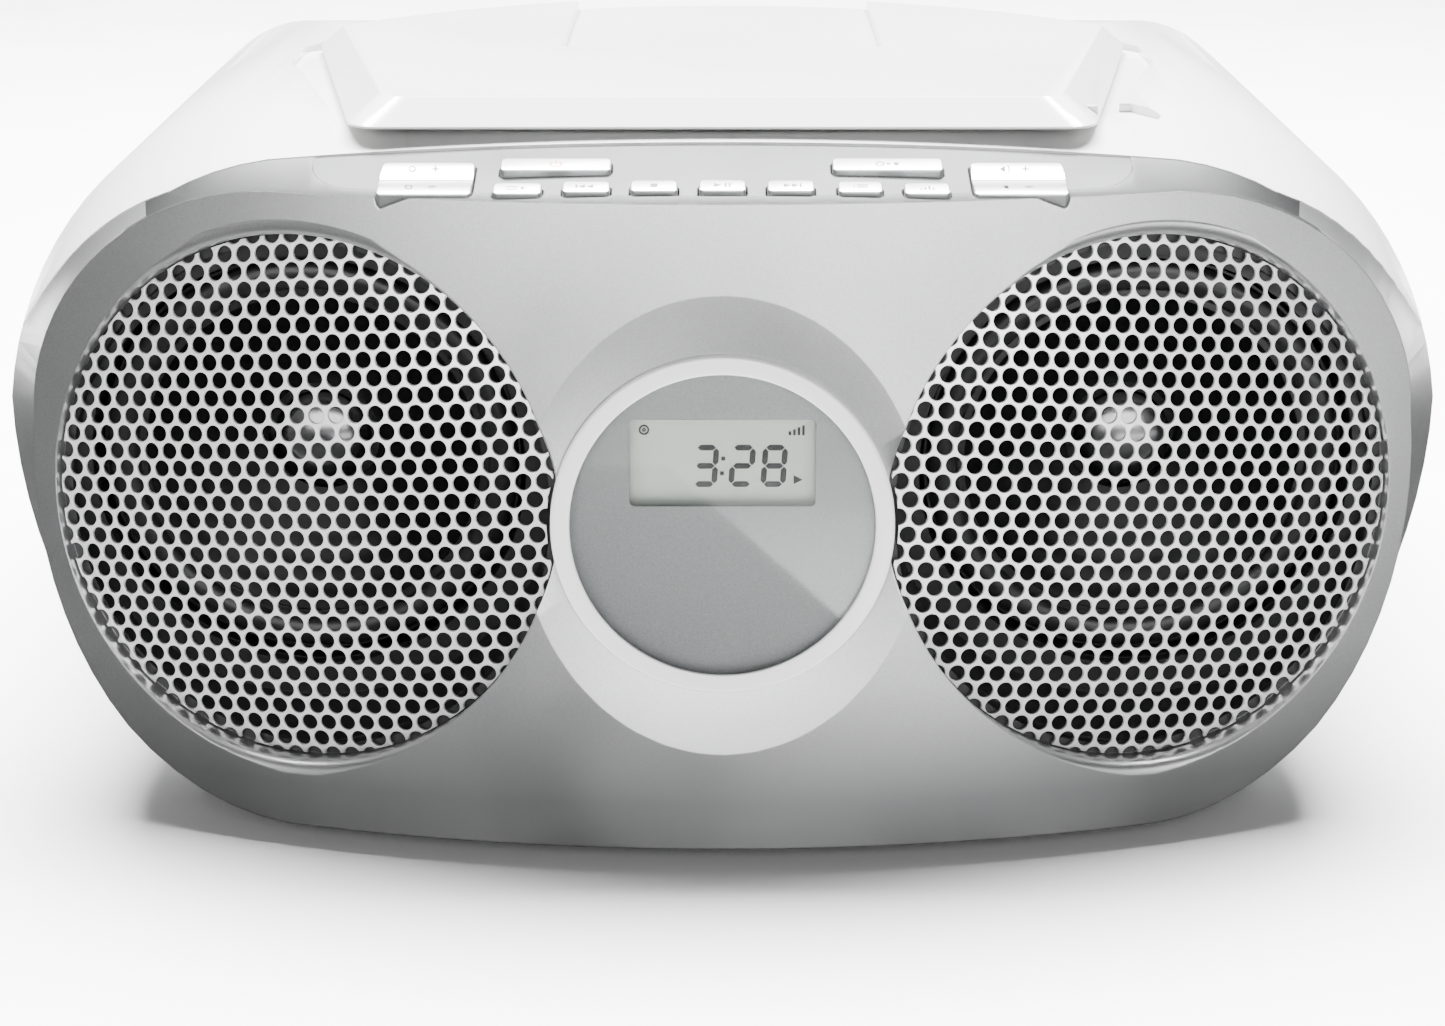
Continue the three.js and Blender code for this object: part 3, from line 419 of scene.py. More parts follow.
def recess(floor, margin):
    front = SEAM_Y - 20
    side, radius = LID_SIDE_HALF + 9.5 + margin, LID_ARC_R + 9 + margin
    turn = math.acos(side / radius)
    half = [(LID_FRONT_HALF + 3 + margin, front), (LID_FRONT_HALF + 9 + margin, LID_FRONT_Y),
            (side, LID_FRONT_Y + 68)]
    for i in range(25):
        angle = turn + (math.pi / 2 - turn) * i / 24
        half.append((radius * math.cos(angle), LID_ARC_Y + radius * math.sin(angle)))
    return prism("recess", mirrored(half), floor, SHOULDER_Z + 10)


TAB_X, TAB_Y = 75, LID_FRONT_Y + 6


def finger_hollow(floor, margin):
    outline = [(TAB_X, TAB_Y - 5 - margin), (TAB_X + 13 + margin, TAB_Y - 3 - margin),
               (TAB_X + 16 + margin, TAB_Y + 4), (TAB_X + 11 + margin, TAB_Y + 12 + margin),
               (TAB_X, TAB_Y + 12 + margin)]
    return prism("hollow", outline, floor, SHOULDER_Z + 10)


def disc(name, x, y, r, low, high, count=96):
    return lathe(name, [(0, low), (r, low), (r, high), (0, high)], count, Matrix.Translation((x, y, 0)))


def bar_y(name, x, z, r, y0, y1, count=32, end=None):
    """A round bar along Y; its far end may have another radius."""
    place = Matrix.Translation((x, y0, z)) @ Matrix.Rotation(-math.pi / 2, 4, "X")
    return lathe(name, [(0, 0), (r, 0), (end or r, y1 - y0), (0, y1 - y0)], count, place)


def bar_x(name, y, z, r, x0, x1, count=32):
    place = Matrix.Translation((x0, y, z)) @ Matrix.Rotation(math.pi / 2, 4, "Y")
    return lathe(name, [(0, 0), (r, 0), (r, x1 - x0), (0, x1 - x0)], count, place)


ANTENNA_X, ANTENNA_Z = 104, 93


def make_top_cover(outer, inner):
    cover = copy_of(outer, "cover")
    cut(cover, inner, keep_tool=True)
    parts = [recess(RECESS_Z - WALL, WALL), finger_hollow(RECESS_Z - WALL, WALL)]
    half = POCKET_HALF + WALL
    parts.append(cube("tub", -half, half, POCKET_Y - WALL, DEPTH, POCKET_Z - WALL, SHOULDER_Z + 10))
    for side in (-1, 1):
        x = side * HINGE_X
        parts.append(cube("bracket", x - 7.8, x + 7.8, HINGE_Y - 7, HINGE_Y + 6, HINGE_Z - 5, RECESS_Z - 1))
    for part in parts:
        keep(part, outer, keep_tool=True)
        add(cover, part)
    add(cover, disc("well", 0, 0, WELL_R + 2.2, WELL_Z - 2, RECESS_Z))
    cut(cover, recess(RECESS_Z, 0))
    cut(cover, finger_hollow(RECESS_Z, 0))
    cut(cover, cube("pocket", -POCKET_HALF, POCKET_HALF, POCKET_Y, DEPTH, POCKET_Z, SHOULDER_Z + 10))
    well = [(0, WELL_Z), (WELL_R - 1.5, WELL_Z), (WELL_R, WELL_Z + 1.5), (WELL_R, RECESS_Z - 0.8),
            (WELL_R + 0.8, RECESS_Z), (WELL_R + 0.8, SHOULDER_Z + 10), (0, SHOULDER_Z + 10)]
    cut(cover, lathe("well_cut", well, 128))
    cut(cover, disc("spindle_hole", 0, 0, 17, 121.5, SHOULDER_Z, 64))
    cut(cover, cube("laser_slot", -10, 10, -WELL_R - 1, -12, 121.5, SHOULDER_Z))
    for side in (-1, 1):
        x = side * HINGE_X
        cut(cover, cube("arm_slot", x - 4.35, x + 4.35, HINGE_Y - 42, HINGE_Y + 4.4,
                        HINGE_Z - 12, SHOULDER_Z + 10))
        cut(cover, bar_x("pin_bore", HINGE_Y, HINGE_Z, 2.35, x - 8.8, x + 8.8))
    cut(cover, bar_y("antenna_bore", ANTENNA_X, ANTENNA_Z, 3.4, UPPER_REAR_Y - 10, DEPTH))
    keep(cover, behind_seam(GAP / 2))
    cut(cover, cube("below", -WIDTH, WIDTH, -DEPTH, DEPTH, -10, WIDEST_Z + GAP / 2))
    return cover


# ---------- rear cabinet and what is let into it ----------
DOOR = {"x0": -80, "x1": 60, "z0": 20, "z1": 66}
INLET_X, INLET_Z, INLET_HALF, INLET_TALL = 92, 34, 11.6, 7.6
JACK_X, JACK_Z = -100, 34
SCREWS = [(-94, 76), (94, 76), (-94, 14), (94, 14), (-10, 76), (-10, 13)]


def make_cabinet(outer, inner):
    cabinet = copy_of(outer, "cabinet")
    cut(cabinet, inner, keep_tool=True)
    keep(cabinet, behind_seam(GAP / 2))
    cut(cabinet, cube("above", -WIDTH, WIDTH, -DEPTH, DEPTH, WIDEST_Z - GAP / 2, SHOULDER_Z + 10))
    for x, y in ((-52, -34), (52, -34), (-52, 30), (52, 30)):
        add(cabinet, disc("post", x, y, 3, BOTTOM_Z + 1, 29.65, 32))
    cut_y = REAR_Y - 17.5
    cut(cabinet, cube("bay", DOOR["x0"] - GAP, DOOR["x1"] + GAP, cut_y, DEPTH,
                      DOOR["z0"] - 1, DOOR["z1"] + GAP))
    cut(cabinet, cube("inlet", INLET_X - 12, INLET_X + 12, cut_y, DEPTH, INLET_Z - 8, INLET_Z + 8))
    cut(cabinet, bar_y("jack", JACK_X, JACK_Z, 4.4, cut_y, DEPTH))
    for x, z in SCREWS:
        cut(cabinet, bar_y("screw_hole", x, z, 3.2, REAR_Y - 1.6, DEPTH))
    for i in range(9):
        x = 75 + i * 3.6
        cut(cabinet, prism("vent", rounded(1.6, 16, 0.79), -1.2, 3,
                           Matrix.Translation((x, REAR_Y, 62)) @ Matrix.Rotation(-math.pi / 2, 4, "X")))
    return cabinet


# ---------- lid ----------
def lid_outline(inset):
    radius, side, front = LID_ARC_R - inset, LID_SIDE_HALF - inset, LID_FRONT_HALF - inset
    y, corner = LID_FRONT_Y + inset, 6
    half = []
    for i in range(9):
        t = i / 8
        s = 1 - t
        half.append((s * s * (front - corner) + 2 * s * t * front + t * t * (front + 1.4),
                     y + t * t * corner))
    turn = math.acos(side / radius)
    for i in range(41):
        angle = turn + (math.pi / 2 - turn) * i / 40
        half.append((radius * math.cos(angle), LID_ARC_Y + radius * math.sin(angle)))
    half[-1] = (0, half[-1][1])
    return mirrored(half)


def lid_solid(name, inset, low):
    levels = [(inset - LID_BEVEL, low), (inset - LID_BEVEL, LID_TOP_Z - inset - 5),
              (inset, LID_TOP_Z - inset)]
    return rings_to_mesh(name, [[(x, y, z) for x, y in lid_outline(out)] for out, z in levels], sharp=25)


ALONG_X = Matrix(((0, 0, 1, 0), (1, 0, 0, 0), (0, 1, 0, 0), (0, 0, 0, 1)))


def scoop(half, floor):
    rise = LID_TOP_Z + 4 - floor
    profile = [(-4 - rise, LID_TOP_Z + 4), (-4, floor), (DEPTH, floor), (DEPTH, LID_TOP_Z + 4)]
    return prism("scoop", profile, -half, half, ALONG_X)


def make_lid():
    outer = lid_solid("lid_outer", 0, LID_BASE_Z)
    lid = copy_of(outer, "lid")
    cut(lid, lid_solid("lid_inner", LID_WALL, LID_BASE_Z - 5))
    floor = LID_TOP_Z - 2.4
    pad = scoop(40, floor - 2)
    keep(pad, outer)
    add(lid, pad)
    cut(lid, scoop(36, floor))
    add(lid, cube("tab", TAB_X - 4, TAB_X + 2, TAB_Y - 1, TAB_Y + 1.2, LID_BASE_Z, LID_TOP_Z - 3))
    root, knuckle = LID_TOP_Z - LID_WALL + 0.6, 3.6
    arm = [(HINGE_Y - 38, root), (HINGE_Y - 38, LID_BASE_Z), (HINGE_Y - 22, HINGE_Z - 3)]
    for i in range(17):
        turn = math.radians(-90 + 180 * i / 16)
        arm.append((HINGE_Y + knuckle * math.cos(turn), HINGE_Z + knuckle * math.sin(turn)))
    arm += [(HINGE_Y - 18, HINGE_Z + knuckle), (HINGE_Y - 28, root)]
    for side in (-1, 1):
        x = side * HINGE_X
        add(lid, prism("arm", arm, x - 4, x + 4, ALONG_X))
    cut(lid, bar_x("pin_bore", HINGE_Y, HINGE_Z, 2.35, -WIDTH, WIDTH))
    return lid


# ---------- grilles and drivers ----------
HOLE_R, HOLE_PITCH = 1.7, 4.15
HOLE_SIDES = 18
SHEET = 0.7


def perforated(name, radius, dome):
    """A domed sheet made of six-sided cells, each with a round hole and a softened punched edge."""
    row, reach = HOLE_PITCH * math.sqrt(3) / 2, radius + HOLE_PITCH
    cells = set()
    for j in range(-20, 21):
        for i in range(-20, 21):
            if math.hypot((i + j % 2 / 2) * HOLE_PITCH, j * row) < reach:
                cells.add((i, j))
    angles = [math.radians(30 + 360 / HOLE_SIDES * k) for k in range(HOLE_SIDES)]
    outline = []
    for angle in angles:
        off = (math.degrees(angle) + 30) % 60 - 30
        outline.append(HOLE_PITCH / 2 / math.cos(math.radians(off)))
    edge = [HOLE_R + 0.12] * HOLE_SIDES
    bore = [HOLE_R] * HOLE_SIDES
    levels = [(outline, 0), (edge, 0), (bore, -0.12), (bore, -SHEET), (outline, -SHEET)]
    verts, faces = [], []
    for i, j in cells:
        cx, cy = (i + j % 2 / 2) * HOLE_PITCH, j * row
        first = len(verts)
        for radii, height in levels:
            verts += [(cx + r * math.cos(a), cy + r * math.sin(a), height) for r, a in zip(radii, angles)]
        for level in range(4):
            a, b = first + level * HOLE_SIDES, first + (level + 1) * HOLE_SIDES
            for k in range(HOLE_SIDES):
                n = (k + 1) % HOLE_SIDES
                faces.append((a + k, a + n, b + n, b + k))
        odd = j % 2
        near = [(i + 1, j), (i + odd, j + 1), (i - 1 + odd, j + 1),
                (i - 1, j), (i - 1 + odd, j - 1), (i + odd, j - 1)]
        each = HOLE_SIDES // 6
        for side, other in enumerate(near):
            if other not in cells:
                start = (side - 1) * each
                for k in range(start, start + each):
                    a, b = k % HOLE_SIDES, (k + 1) % HOLE_SIDES
                    low = first + 4 * HOLE_SIDES
                    faces.append((first + b, first + a, low + a, low + b))
    mesh = bpy.data.meshes.new(name)
    mesh.from_pydata([Vector(v) for v in verts], [], faces)
    bm = bmesh.new()
    bm.from_mesh(mesh)
    bmesh.ops.remove_doubles(bm, verts=bm.verts, dist=0.001)
    bmesh.ops.recalc_face_normals(bm, faces=bm.faces)
    for vert in bm.verts:
        share = math.hypot(vert.co.x, vert.co.y) / radius
        vert.co.z += dome * (1 - share ** 2)
        vert.co *= MM
    bm.to_mesh(mesh)
    bm.free()
    obj = bpy.data.objects.new(name, mesh)
    bpy.context.scene.collection.objects.link(obj)
    return obj


def transformed(obj, matrix):
    """Moves the vertices, in millimetres, and leaves the object at the origin."""
    matrix = matrix.copy()
    matrix.translation *= MM
    obj.data.transform(matrix)
    obj.data.update()
    return obj


def make_grilles():
    sheet = perforated("sheet", OPENING_R, GRILLE_DOME)
    r = OPENING_R - GAP
    keep(sheet, lathe("edge", [(0, -8), (r, -8), (r, 20), (0, 20)], 192), sharp=30)
    grilles = {}
    for side, place in SPEAKERS.items():
        piece = copy_of(sheet, side + "_grille_piece")
        level = Matrix.Rotation(math.radians(5 if side == "left" else -5), 4, "Z")
        transformed(piece, place @ Matrix.Translation((0, 0, -RIM_DEPTH)) @ level)
        r = BEZEL_R + GAP
        cut(piece, lathe("clear", [(0, -20), (r, -20), (r, 20), (0, 20)], 160, DISPLAY), sharp=30)
        grilles[side] = piece
    bpy.data.objects.remove(sheet)
    return grilles


SURROUND_R = 36.5
NECK_R = CAP_R + 0.6


def make_basket(name, place):
    lip, back = CONE_R + 1.5, CONE_DEPTH + 7
    flange = OPENING_R - 4.2
    return lathe(name, [(lip, -6.5), (31, -CONE_DEPTH - 5), (NECK_R + 2, -CONE_DEPTH - 5),
                        (NECK_R + 2, -back), (33, -back), (lip + 2, -6.5), (lip + 2, -2),
                        (flange, -2), (flange, -0.4), (flange - 0.4, 0), (lip, 0)],
                 96, place)


def make_cone(name, place):
    """Paper cone with a few shallow ribs."""
    upper, lower = [], []
    for i in range(25):
        t = i / 24
        r = NECK_R + 1 + (SURROUND_R + 1 - NECK_R) * t
        sag = 1.1 * math.sin(math.pi * t)
        rib = 0.12 * math.sin(t * math.pi * 10) if 0.1 < t < 0.95 else 0
        z = -CONE_DEPTH + (CONE_DEPTH - 3.4) * t - sag + rib
        upper.append((r, z))
        lower.append((r, z - 0.7))
    return lathe(name, lower + upper[::-1], 128, place, sharp=60)


def make_surround(name, place):
    """The half-round rubber edge between cone and basket."""
    middle, half = (SURROUND_R + CONE_R) / 2, (CONE_R - SURROUND_R) / 2
    upper, lower = [(SURROUND_R - 1, -2.7)], [(SURROUND_R - 1, -3.3)]
    for i in range(17):
        turn = math.radians(180 - 180 * i / 16)
        upper.append((middle + (half - 0.4) * math.cos(turn), -2.7 + 2.4 * math.sin(turn)))
        lower.append((middle + (half - 1) * math.cos(turn), -3.3 + 2.2 * math.sin(turn)))
    upper.append((CONE_R + 0.2, -2.7))
    lower.append((CONE_R + 0.2, -3.3))
    return lathe(name, lower + upper[::-1], 128, place, sharp=60)


def make_cap(name, place):
    base = 0.4 - CONE_DEPTH
    points = [(0, base), (CAP_R, base)]
    for i in range(1, 13):
        turn = math.radians(7.5 * i)
        points.append((CAP_R * math.cos(turn), base + 6.2 * math.sin(turn)))
    points[-1] = (0, base + 6.2)
    return lathe(name, points, 96, place, sharp=60)


# ---------- keys and their signs ----------
def make_key(name, w, h, place):
    low = -5
    cap = pillow(name, rounded(w, h, 1, 6), low, KEY_PROUD, 0.35, place)
    if name.endswith("rocker"):
        valley = lathe("valley", [(0, -w), (9.9, -w), (9.9, w), (0, w)], 160,
                       place @ Matrix.Translation((0, 0, KEY_PROUD + 9.4))
                       @ Matrix.Rotation(math.pi / 2, 4, "Y"))
        cut(cap, valley, sharp=40)
        cut(cap, prism("line", [(-w, -0.12), (w, -0.12), (w, 0.12), (-w, 0.12)], 0.22, 5, place), sharp=40)
    return cap


def bar(x, y, w, h):
    return [(x - w / 2, y - h / 2), (x + w / 2, y - h / 2), (x + w / 2, y + h / 2), (x - w / 2, y + h / 2)]


def arrow(x, y, w, h):
    """A solid arrowhead; a negative width points it left."""
    points = [(x - w / 2, y - h / 2), (x + w / 2, y), (x - w / 2, y + h / 2)]
    return points if w > 0 else points[::-1]


def arc(x, y, r, thick, start, end, steps=16):
    outer, inner = [], []
    for i in range(steps + 1):
        turn = math.radians(start + (end - start) * i / steps)
        outer.append((x + r * math.cos(turn), y + r * math.sin(turn)))
        inner.append((x + (r - thick) * math.cos(turn), y + (r - thick) * math.sin(turn)))
    return outer + inner[::-1]


def plus(x, y, size, thick=0.32):
    return [bar(x, y, size, thick), bar(x, y + (size + thick) / 4, thick, (size - thick) / 2),
            bar(x, y - (size + thick) / 4, thick, (size - thick) / 2)]


SIGNS = {
    "power_button": [arc(0, -0.1, 1.25, 0.3, 125, 415), bar(0, 0.8, 0.3, 1.4)],
    "mode_button": [bar(-1, 0.5, 2.2, 0.3), bar(-1, -0.5, 2.2, 0.3), arrow(1.2, 0, 0.9, 1.3)],
    "previous_button": [bar(-1.9, 0, 0.35, 1.5), arrow(-0.9, 0, -1.4, 1.5), arrow(0.7, 0, -1.4, 1.5)],
    "stop_button": [bar(0, 0, 1.4, 1.4)],
    "play_button": [arrow(-0.9, 0, 1.5, 1.5), bar(0.6, 0, 0.4, 1.5), bar(1.4, 0, 0.4, 1.5)],
    "next_button": [arrow(-0.7, 0, 1.4, 1.5), arrow(0.9, 0, 1.4, 1.5), bar(1.9, 0, 0.35, 1.5)],
    "source_button": [arc(-1.5, 0, 0.9, 0.28, 0, 359, 24), arrow(0.3, 0, 0.9, 1.2), bar(1.7, 0, 0.9, 1.2)],
    "program_button": [bar(0.4, 0.6, 2.2, 0.28), bar(0.4, 0, 2.2, 0.28), bar(0.4, -0.6, 2.2, 0.28),
                       bar(-1.2, 0.6, 0.3, 0.28), bar(-1.2, 0, 0.3, 0.28), bar(-1.2, -0.6, 0.3, 0.28)],
    "bass_button": [bar(-1.2, -0.45, 0.4, 0.6), bar(-0.4, -0.25, 0.4, 1), bar(0.4, 0, 0.4, 1.5),
                    bar(1.2, -0.35, 0.4, 0.8)],
    "preset_rocker": [arc(-3, 3.4, 0.75, 0.26, 0, 359, 24)] + plus(1.6, 3.4, 1.5)
    + [arc(-3, -3.4, 0.75, 0.26, 0, 359, 24), bar(1.6, -3.4, 1.5, 0.32)],
    "volume_rocker": [arrow(-3, 3.4, -1.1, 1.5), arc(-3, 3.4, 1.5, 0.26, -40, 40, 8)] + plus(1.6, 3.4, 1.5)
    + [arrow(-3, -3.4, -1.1, 1.5), bar(1.6, -3.4, 1.5, 0.32)],
}


def flat_shapes(name, outlines, height, place, thick=0.05):
    """Thin printed shapes standing just off a surface."""
    verts, faces = [], []
    for outline in outlines:
        first, count = len(verts), len(outline)
        for z in (height - thick, height):
            for x, y in outline:
                verts.append(place @ Vector((x, y, z)))
        faces.append(tuple(range(first + count - 1, first - 1, -1)))
        faces.append(tuple(range(first + count, first + 2 * count)))
        for i in range(count):
            n = (i + 1) % count
            faces.append((first + i, first + n, first + count + n, first + count + i))
    return make(name, verts, faces)


def make_sign(name, place):
    """The sign of a key. On a rocker each half's sign lies on that half's slope."""
    shapes = SIGNS[name]
    if not name.endswith("rocker"):
        return flat_shapes(name + "_sign", shapes, KEY_PROUD + 0.03, place)
    pieces = []
    for side in (-1, 1):
        y = 3.4
        height = KEY_PROUD + 9.4 - math.sqrt(9.9 ** 2 - y * y)
        slope = side * math.asin(y / 9.9)
        tilt = (place @ Matrix.Translation((0, side * y, height + 0.08)) @ Matrix.Rotation(slope, 4, "X")
                @ Matrix.Translation((0, -side * y, 0)))
        half = [s for s in shapes if side * sum(q for _, q in s) > 0]
        pieces.append(flat_shapes(name + "_sign", half, 0.03, tilt, 0.03))
    return join(pieces)


def join(pieces):
    bm = bmesh.new()
    for piece in pieces:
        bm.from_mesh(piece.data)
    first = pieces[0]
    bm.to_mesh(first.data)
    bm.free()
    for piece in pieces[1:]:
        bpy.data.objects.remove(piece)
    return first


# ---------- display ----------
def make_bezel():
    inner, outer, low = PLATE_R + GAP, BEZEL_R - GAP, GAP - DISH_DEPTH
    profile = [(inner, low), (outer, low), (outer, BEZEL_TOP - 0.9)]
    for i in range(1, 7):
        turn = math.radians(15 * i)
        profile.append((outer - 0.9 + 0.9 * math.cos(turn), BEZEL_TOP - 0.9 + 0.9 * math.sin(turn)))
    lip = inner - 1.1
    for i in range(7):
        turn = math.radians(90 + 15 * i)
        profile.append((lip + 0.6 + 0.6 * math.cos(turn), BEZEL_TOP - 0.44 + 0.44 * math.sin(turn)))
    profile.append((inner, BEZEL_TOP - 0.44))
    return lathe("display_bezel_piece", profile, 192, DISPLAY)


def lcd_outline(margin):
    return [(x, y + LCD_RISE) for x, y in rounded(LCD_W + 2 * margin, LCD_H + 2 * margin, 1)]


def make_plate():
    plate = lathe("display_plate_piece", [(0, LENS_TOP - 3.4), (PLATE_R, LENS_TOP - 3.4),
                                          (PLATE_R, LENS_TOP - 1.8),
                                          (0, LENS_TOP - 1.8)], 128, DISPLAY)
    return cut(plate, prism("window", lcd_outline(0), -20, 20, DISPLAY))


SEGMENTS = {"2": "abged", "3": "abgcd", "8": "abcdefg"}


def digit(x, y, shape, w=3.9, h=7.4, thick=1.15):
    """One seven-segment figure with mitred ends, leaning a little."""
    gap, half = 0.14, thick / 2
    outlines = []
    ends = {"a": ((0, h), (w, h)), "b": ((w, h), (w, h / 2)), "c": ((w, h / 2), (w, 0)), "d": ((0, 0), (w, 0)),
            "e": ((0, 0), (0, h / 2)), "f": ((0, h / 2), (0, h)), "g": ((0, h / 2), (w, h / 2))}
    for letter in SEGMENTS[shape]:
        (x0, y0), (x1, y1) = ends[letter]
        if y0 == y1:
            bar_points = [(x0 + gap, y0), (x0 + gap + half, y0 - half),
                          (x1 - gap - half, y0 - half), (x1 - gap, y0),
                          (x1 - gap - half, y0 + half), (x0 + gap + half, y0 + half)]
        else:
            y0, y1 = min(y0, y1), max(y0, y1)
            bar_points = [(x0, y0 + gap), (x0 + half, y0 + gap + half),
                          (x0 + half, y1 - gap - half), (x0, y1 - gap),
                          (x0 - half, y1 - gap - half), (x0 - half, y0 + gap + half)]
        outlines.append([(x + px + 0.07 * py, y + py) for px, py in bar_points])
    return outlines


def make_figures():
    y = LCD_RISE - 4.6
    outlines = digit(-5.6, y, "3") + digit(1.7, y, "2") + digit(8.1, y, "8")
    outlines += [bar(-0.1, y + 2.2, 0.8, 0.8), bar(0.15, y + 5.2, 0.8, 0.8), arrow(15.1, y + 0.9, 1.8, 1.8)]
    outlines += [arc(-15.6, 18.9, 1.05, 0.35, 0, 359, 24), arc(-15.6, 18.9, 0.4, 0.3, 0, 359, 16)]
    outlines += [bar(13.4 + i * 0.9, 18.2 + 0.2 * i, 0.5, 0.8 + 0.4 * i) for i in range(4)]
    return flat_shapes("lcd_figures", outlines, LENS_TOP - 3.72, DISPLAY)


# ---------- rear pieces, handle, feet, antenna ----------
def make_handle():
    length = POCKET_HALF - GAP
    place = Matrix.Translation((0, UPPER_REAR_Y - 7.25, 124)) @ ALONG_X
    return prism("carry_handle_piece", rounded(14.5, 20, 5, 10), -length, length, place)


def make_battery_door():
    d, y = DOOR, REAR_Y - 2.2
    door = cube("battery_door_piece", d["x0"], d["x1"], y, REAR_Y, d["z0"] + 1, d["z1"] - GAP)
    add(door, bar_x("edge", y + 1.1, d["z0"] + 1, 1.1, d["x0"], d["x1"]))
    for x in (-30, -10, 10):
        cut(door, prism("groove", rounded(16, 3, 1.4), -0.8, 3,
                        Matrix.Translation((x, REAR_Y, d["z1"] - 6.5)) @ Matrix.Rotation(-math.pi / 2, 4, "X")))
    for i in range(10):
        z = d["z0"] + 5 + i * 3.2
        cut(door, cube("rib", d["x0"] + 6, d["x1"] - 6, REAR_Y - 0.4, DEPTH, z, z + 1.1))
    return door


def make_inlet():
    x, z = INLET_X, INLET_Z
    block = cube("mains_inlet_piece", x - INLET_HALF, x + INLET_HALF, REAR_Y - 18, REAR_Y - 0.4,
                 z - INLET_TALL, z + INLET_TALL)
    facing = Matrix.Translation((x, REAR_Y, z)) @ Matrix.Rotation(-math.pi / 2, 4, "X")
    cut(block, prism("socket", rounded(17, 9, 4.4, 8), -14, 4, facing))
    pins = [bar_y("pin", x + dx, z, 1.15, REAR_Y - 15, REAR_Y - 6, 20) for dx in (-4.3, 4.3)]
    return block, join(pins)


def make_jack():
    jack = bar_y("audio_in_jack_piece", JACK_X, JACK_Z, 4, REAR_Y - 12, REAR_Y - 0.3, 48)
    return cut(jack, bar_y("bore", JACK_X, JACK_Z, 1.8, REAR_Y - 10, DEPTH, 32))


def make_foot(name, x, y):
    place = Matrix.Translation((x, y, 0))
    outline = rounded(24, 13, 6, 8)
    rings = [[(px * 0.96, py * 0.94, 0) for px, py in outline], [(px, py, 0.5) for px, py in outline],
             [(px, py, 4.5) for px, py in outline]]
    return rings_to_mesh(name, rings, place)


ROD_Y = UPPER_REAR_Y + 5
ROD_RADII = [3.4, 2.5, 1.6]
ROD_SET_BACK, ROD_LENGTH = 8, 118


def make_antenna_base():
    x, z = ANTENNA_X, ANTENNA_Z
    base = bar_y("antenna_base_piece", x, z, 3, UPPER_REAR_Y - 8, UPPER_REAR_Y + 1)
    add(base, bar_y("collar", x, z, 5, UPPER_REAR_Y + GAP, UPPER_REAR_Y + 1.6, 48))
    fork = cube("fork", x - 4, x + 4, UPPER_REAR_Y + 1, ROD_Y + 3.6, z - 4.4, z + 4.4)
    cut(fork, cube("slot", x - 10, x + 10, UPPER_REAR_Y + 1.9, DEPTH, z - 2.4, z + 2.4))
    add(base, fork)
    return add(base, disc("pin", x, ROD_Y, 1, z - 4.4, z + 4.4, 24))


def make_antenna_section(index, name):
    radius, tip = ROD_RADII[index], ANTENNA_X - ROD_SET_BACK - ROD_LENGTH
    start = ANTENNA_X - ROD_SET_BACK - index * 3
    rod = bar_x(name, ROD_Y, ANTENNA_Z, radius, tip, start, 48)
    if index < 2:
        cut(rod, bar_x("bore", ROD_Y, ANTENNA_Z, radius - 0.55, tip - 5, start - 3 + GAP, 48))
    if index == 0:
        add(rod, disc("eye", ANTENNA_X, ROD_Y, 2.8, ANTENNA_Z - 2, ANTENNA_Z + 2, 32))
        add(rod, cube("neck", start - 2, ANTENNA_X, ROD_Y - 1.6, ROD_Y + 1.6, ANTENNA_Z - 2, ANTENNA_Z + 2))
        cut(rod, disc("pin_bore", ANTENNA_X, ROD_Y, 1.35, ANTENNA_Z - 5, ANTENNA_Z + 5, 24))
    if index == 2:
        add(rod, bar_x("stem", ROD_Y, ANTENNA_Z, radius, tip - 1, tip + 1, 48))
        add(rod, bar_x("knob", ROD_Y, ANTENNA_Z, 3.2, tip - 7, tip - GAP, 48))
    return rod


def make_hub():
    low, top = 120, WELL_Z + 2.6
    return lathe("spindle_hub_piece", [(0, low), (1.6, low), (1.6, top - 2.4), (14, top - 2), (14, top - 0.2),
                                       (13.8, top), (7.4, top), (7.4, top + 1.6), (7.2, top + 1.8),
                                       (4.6, top + 3),
                                       (0, top + 3)], 96)


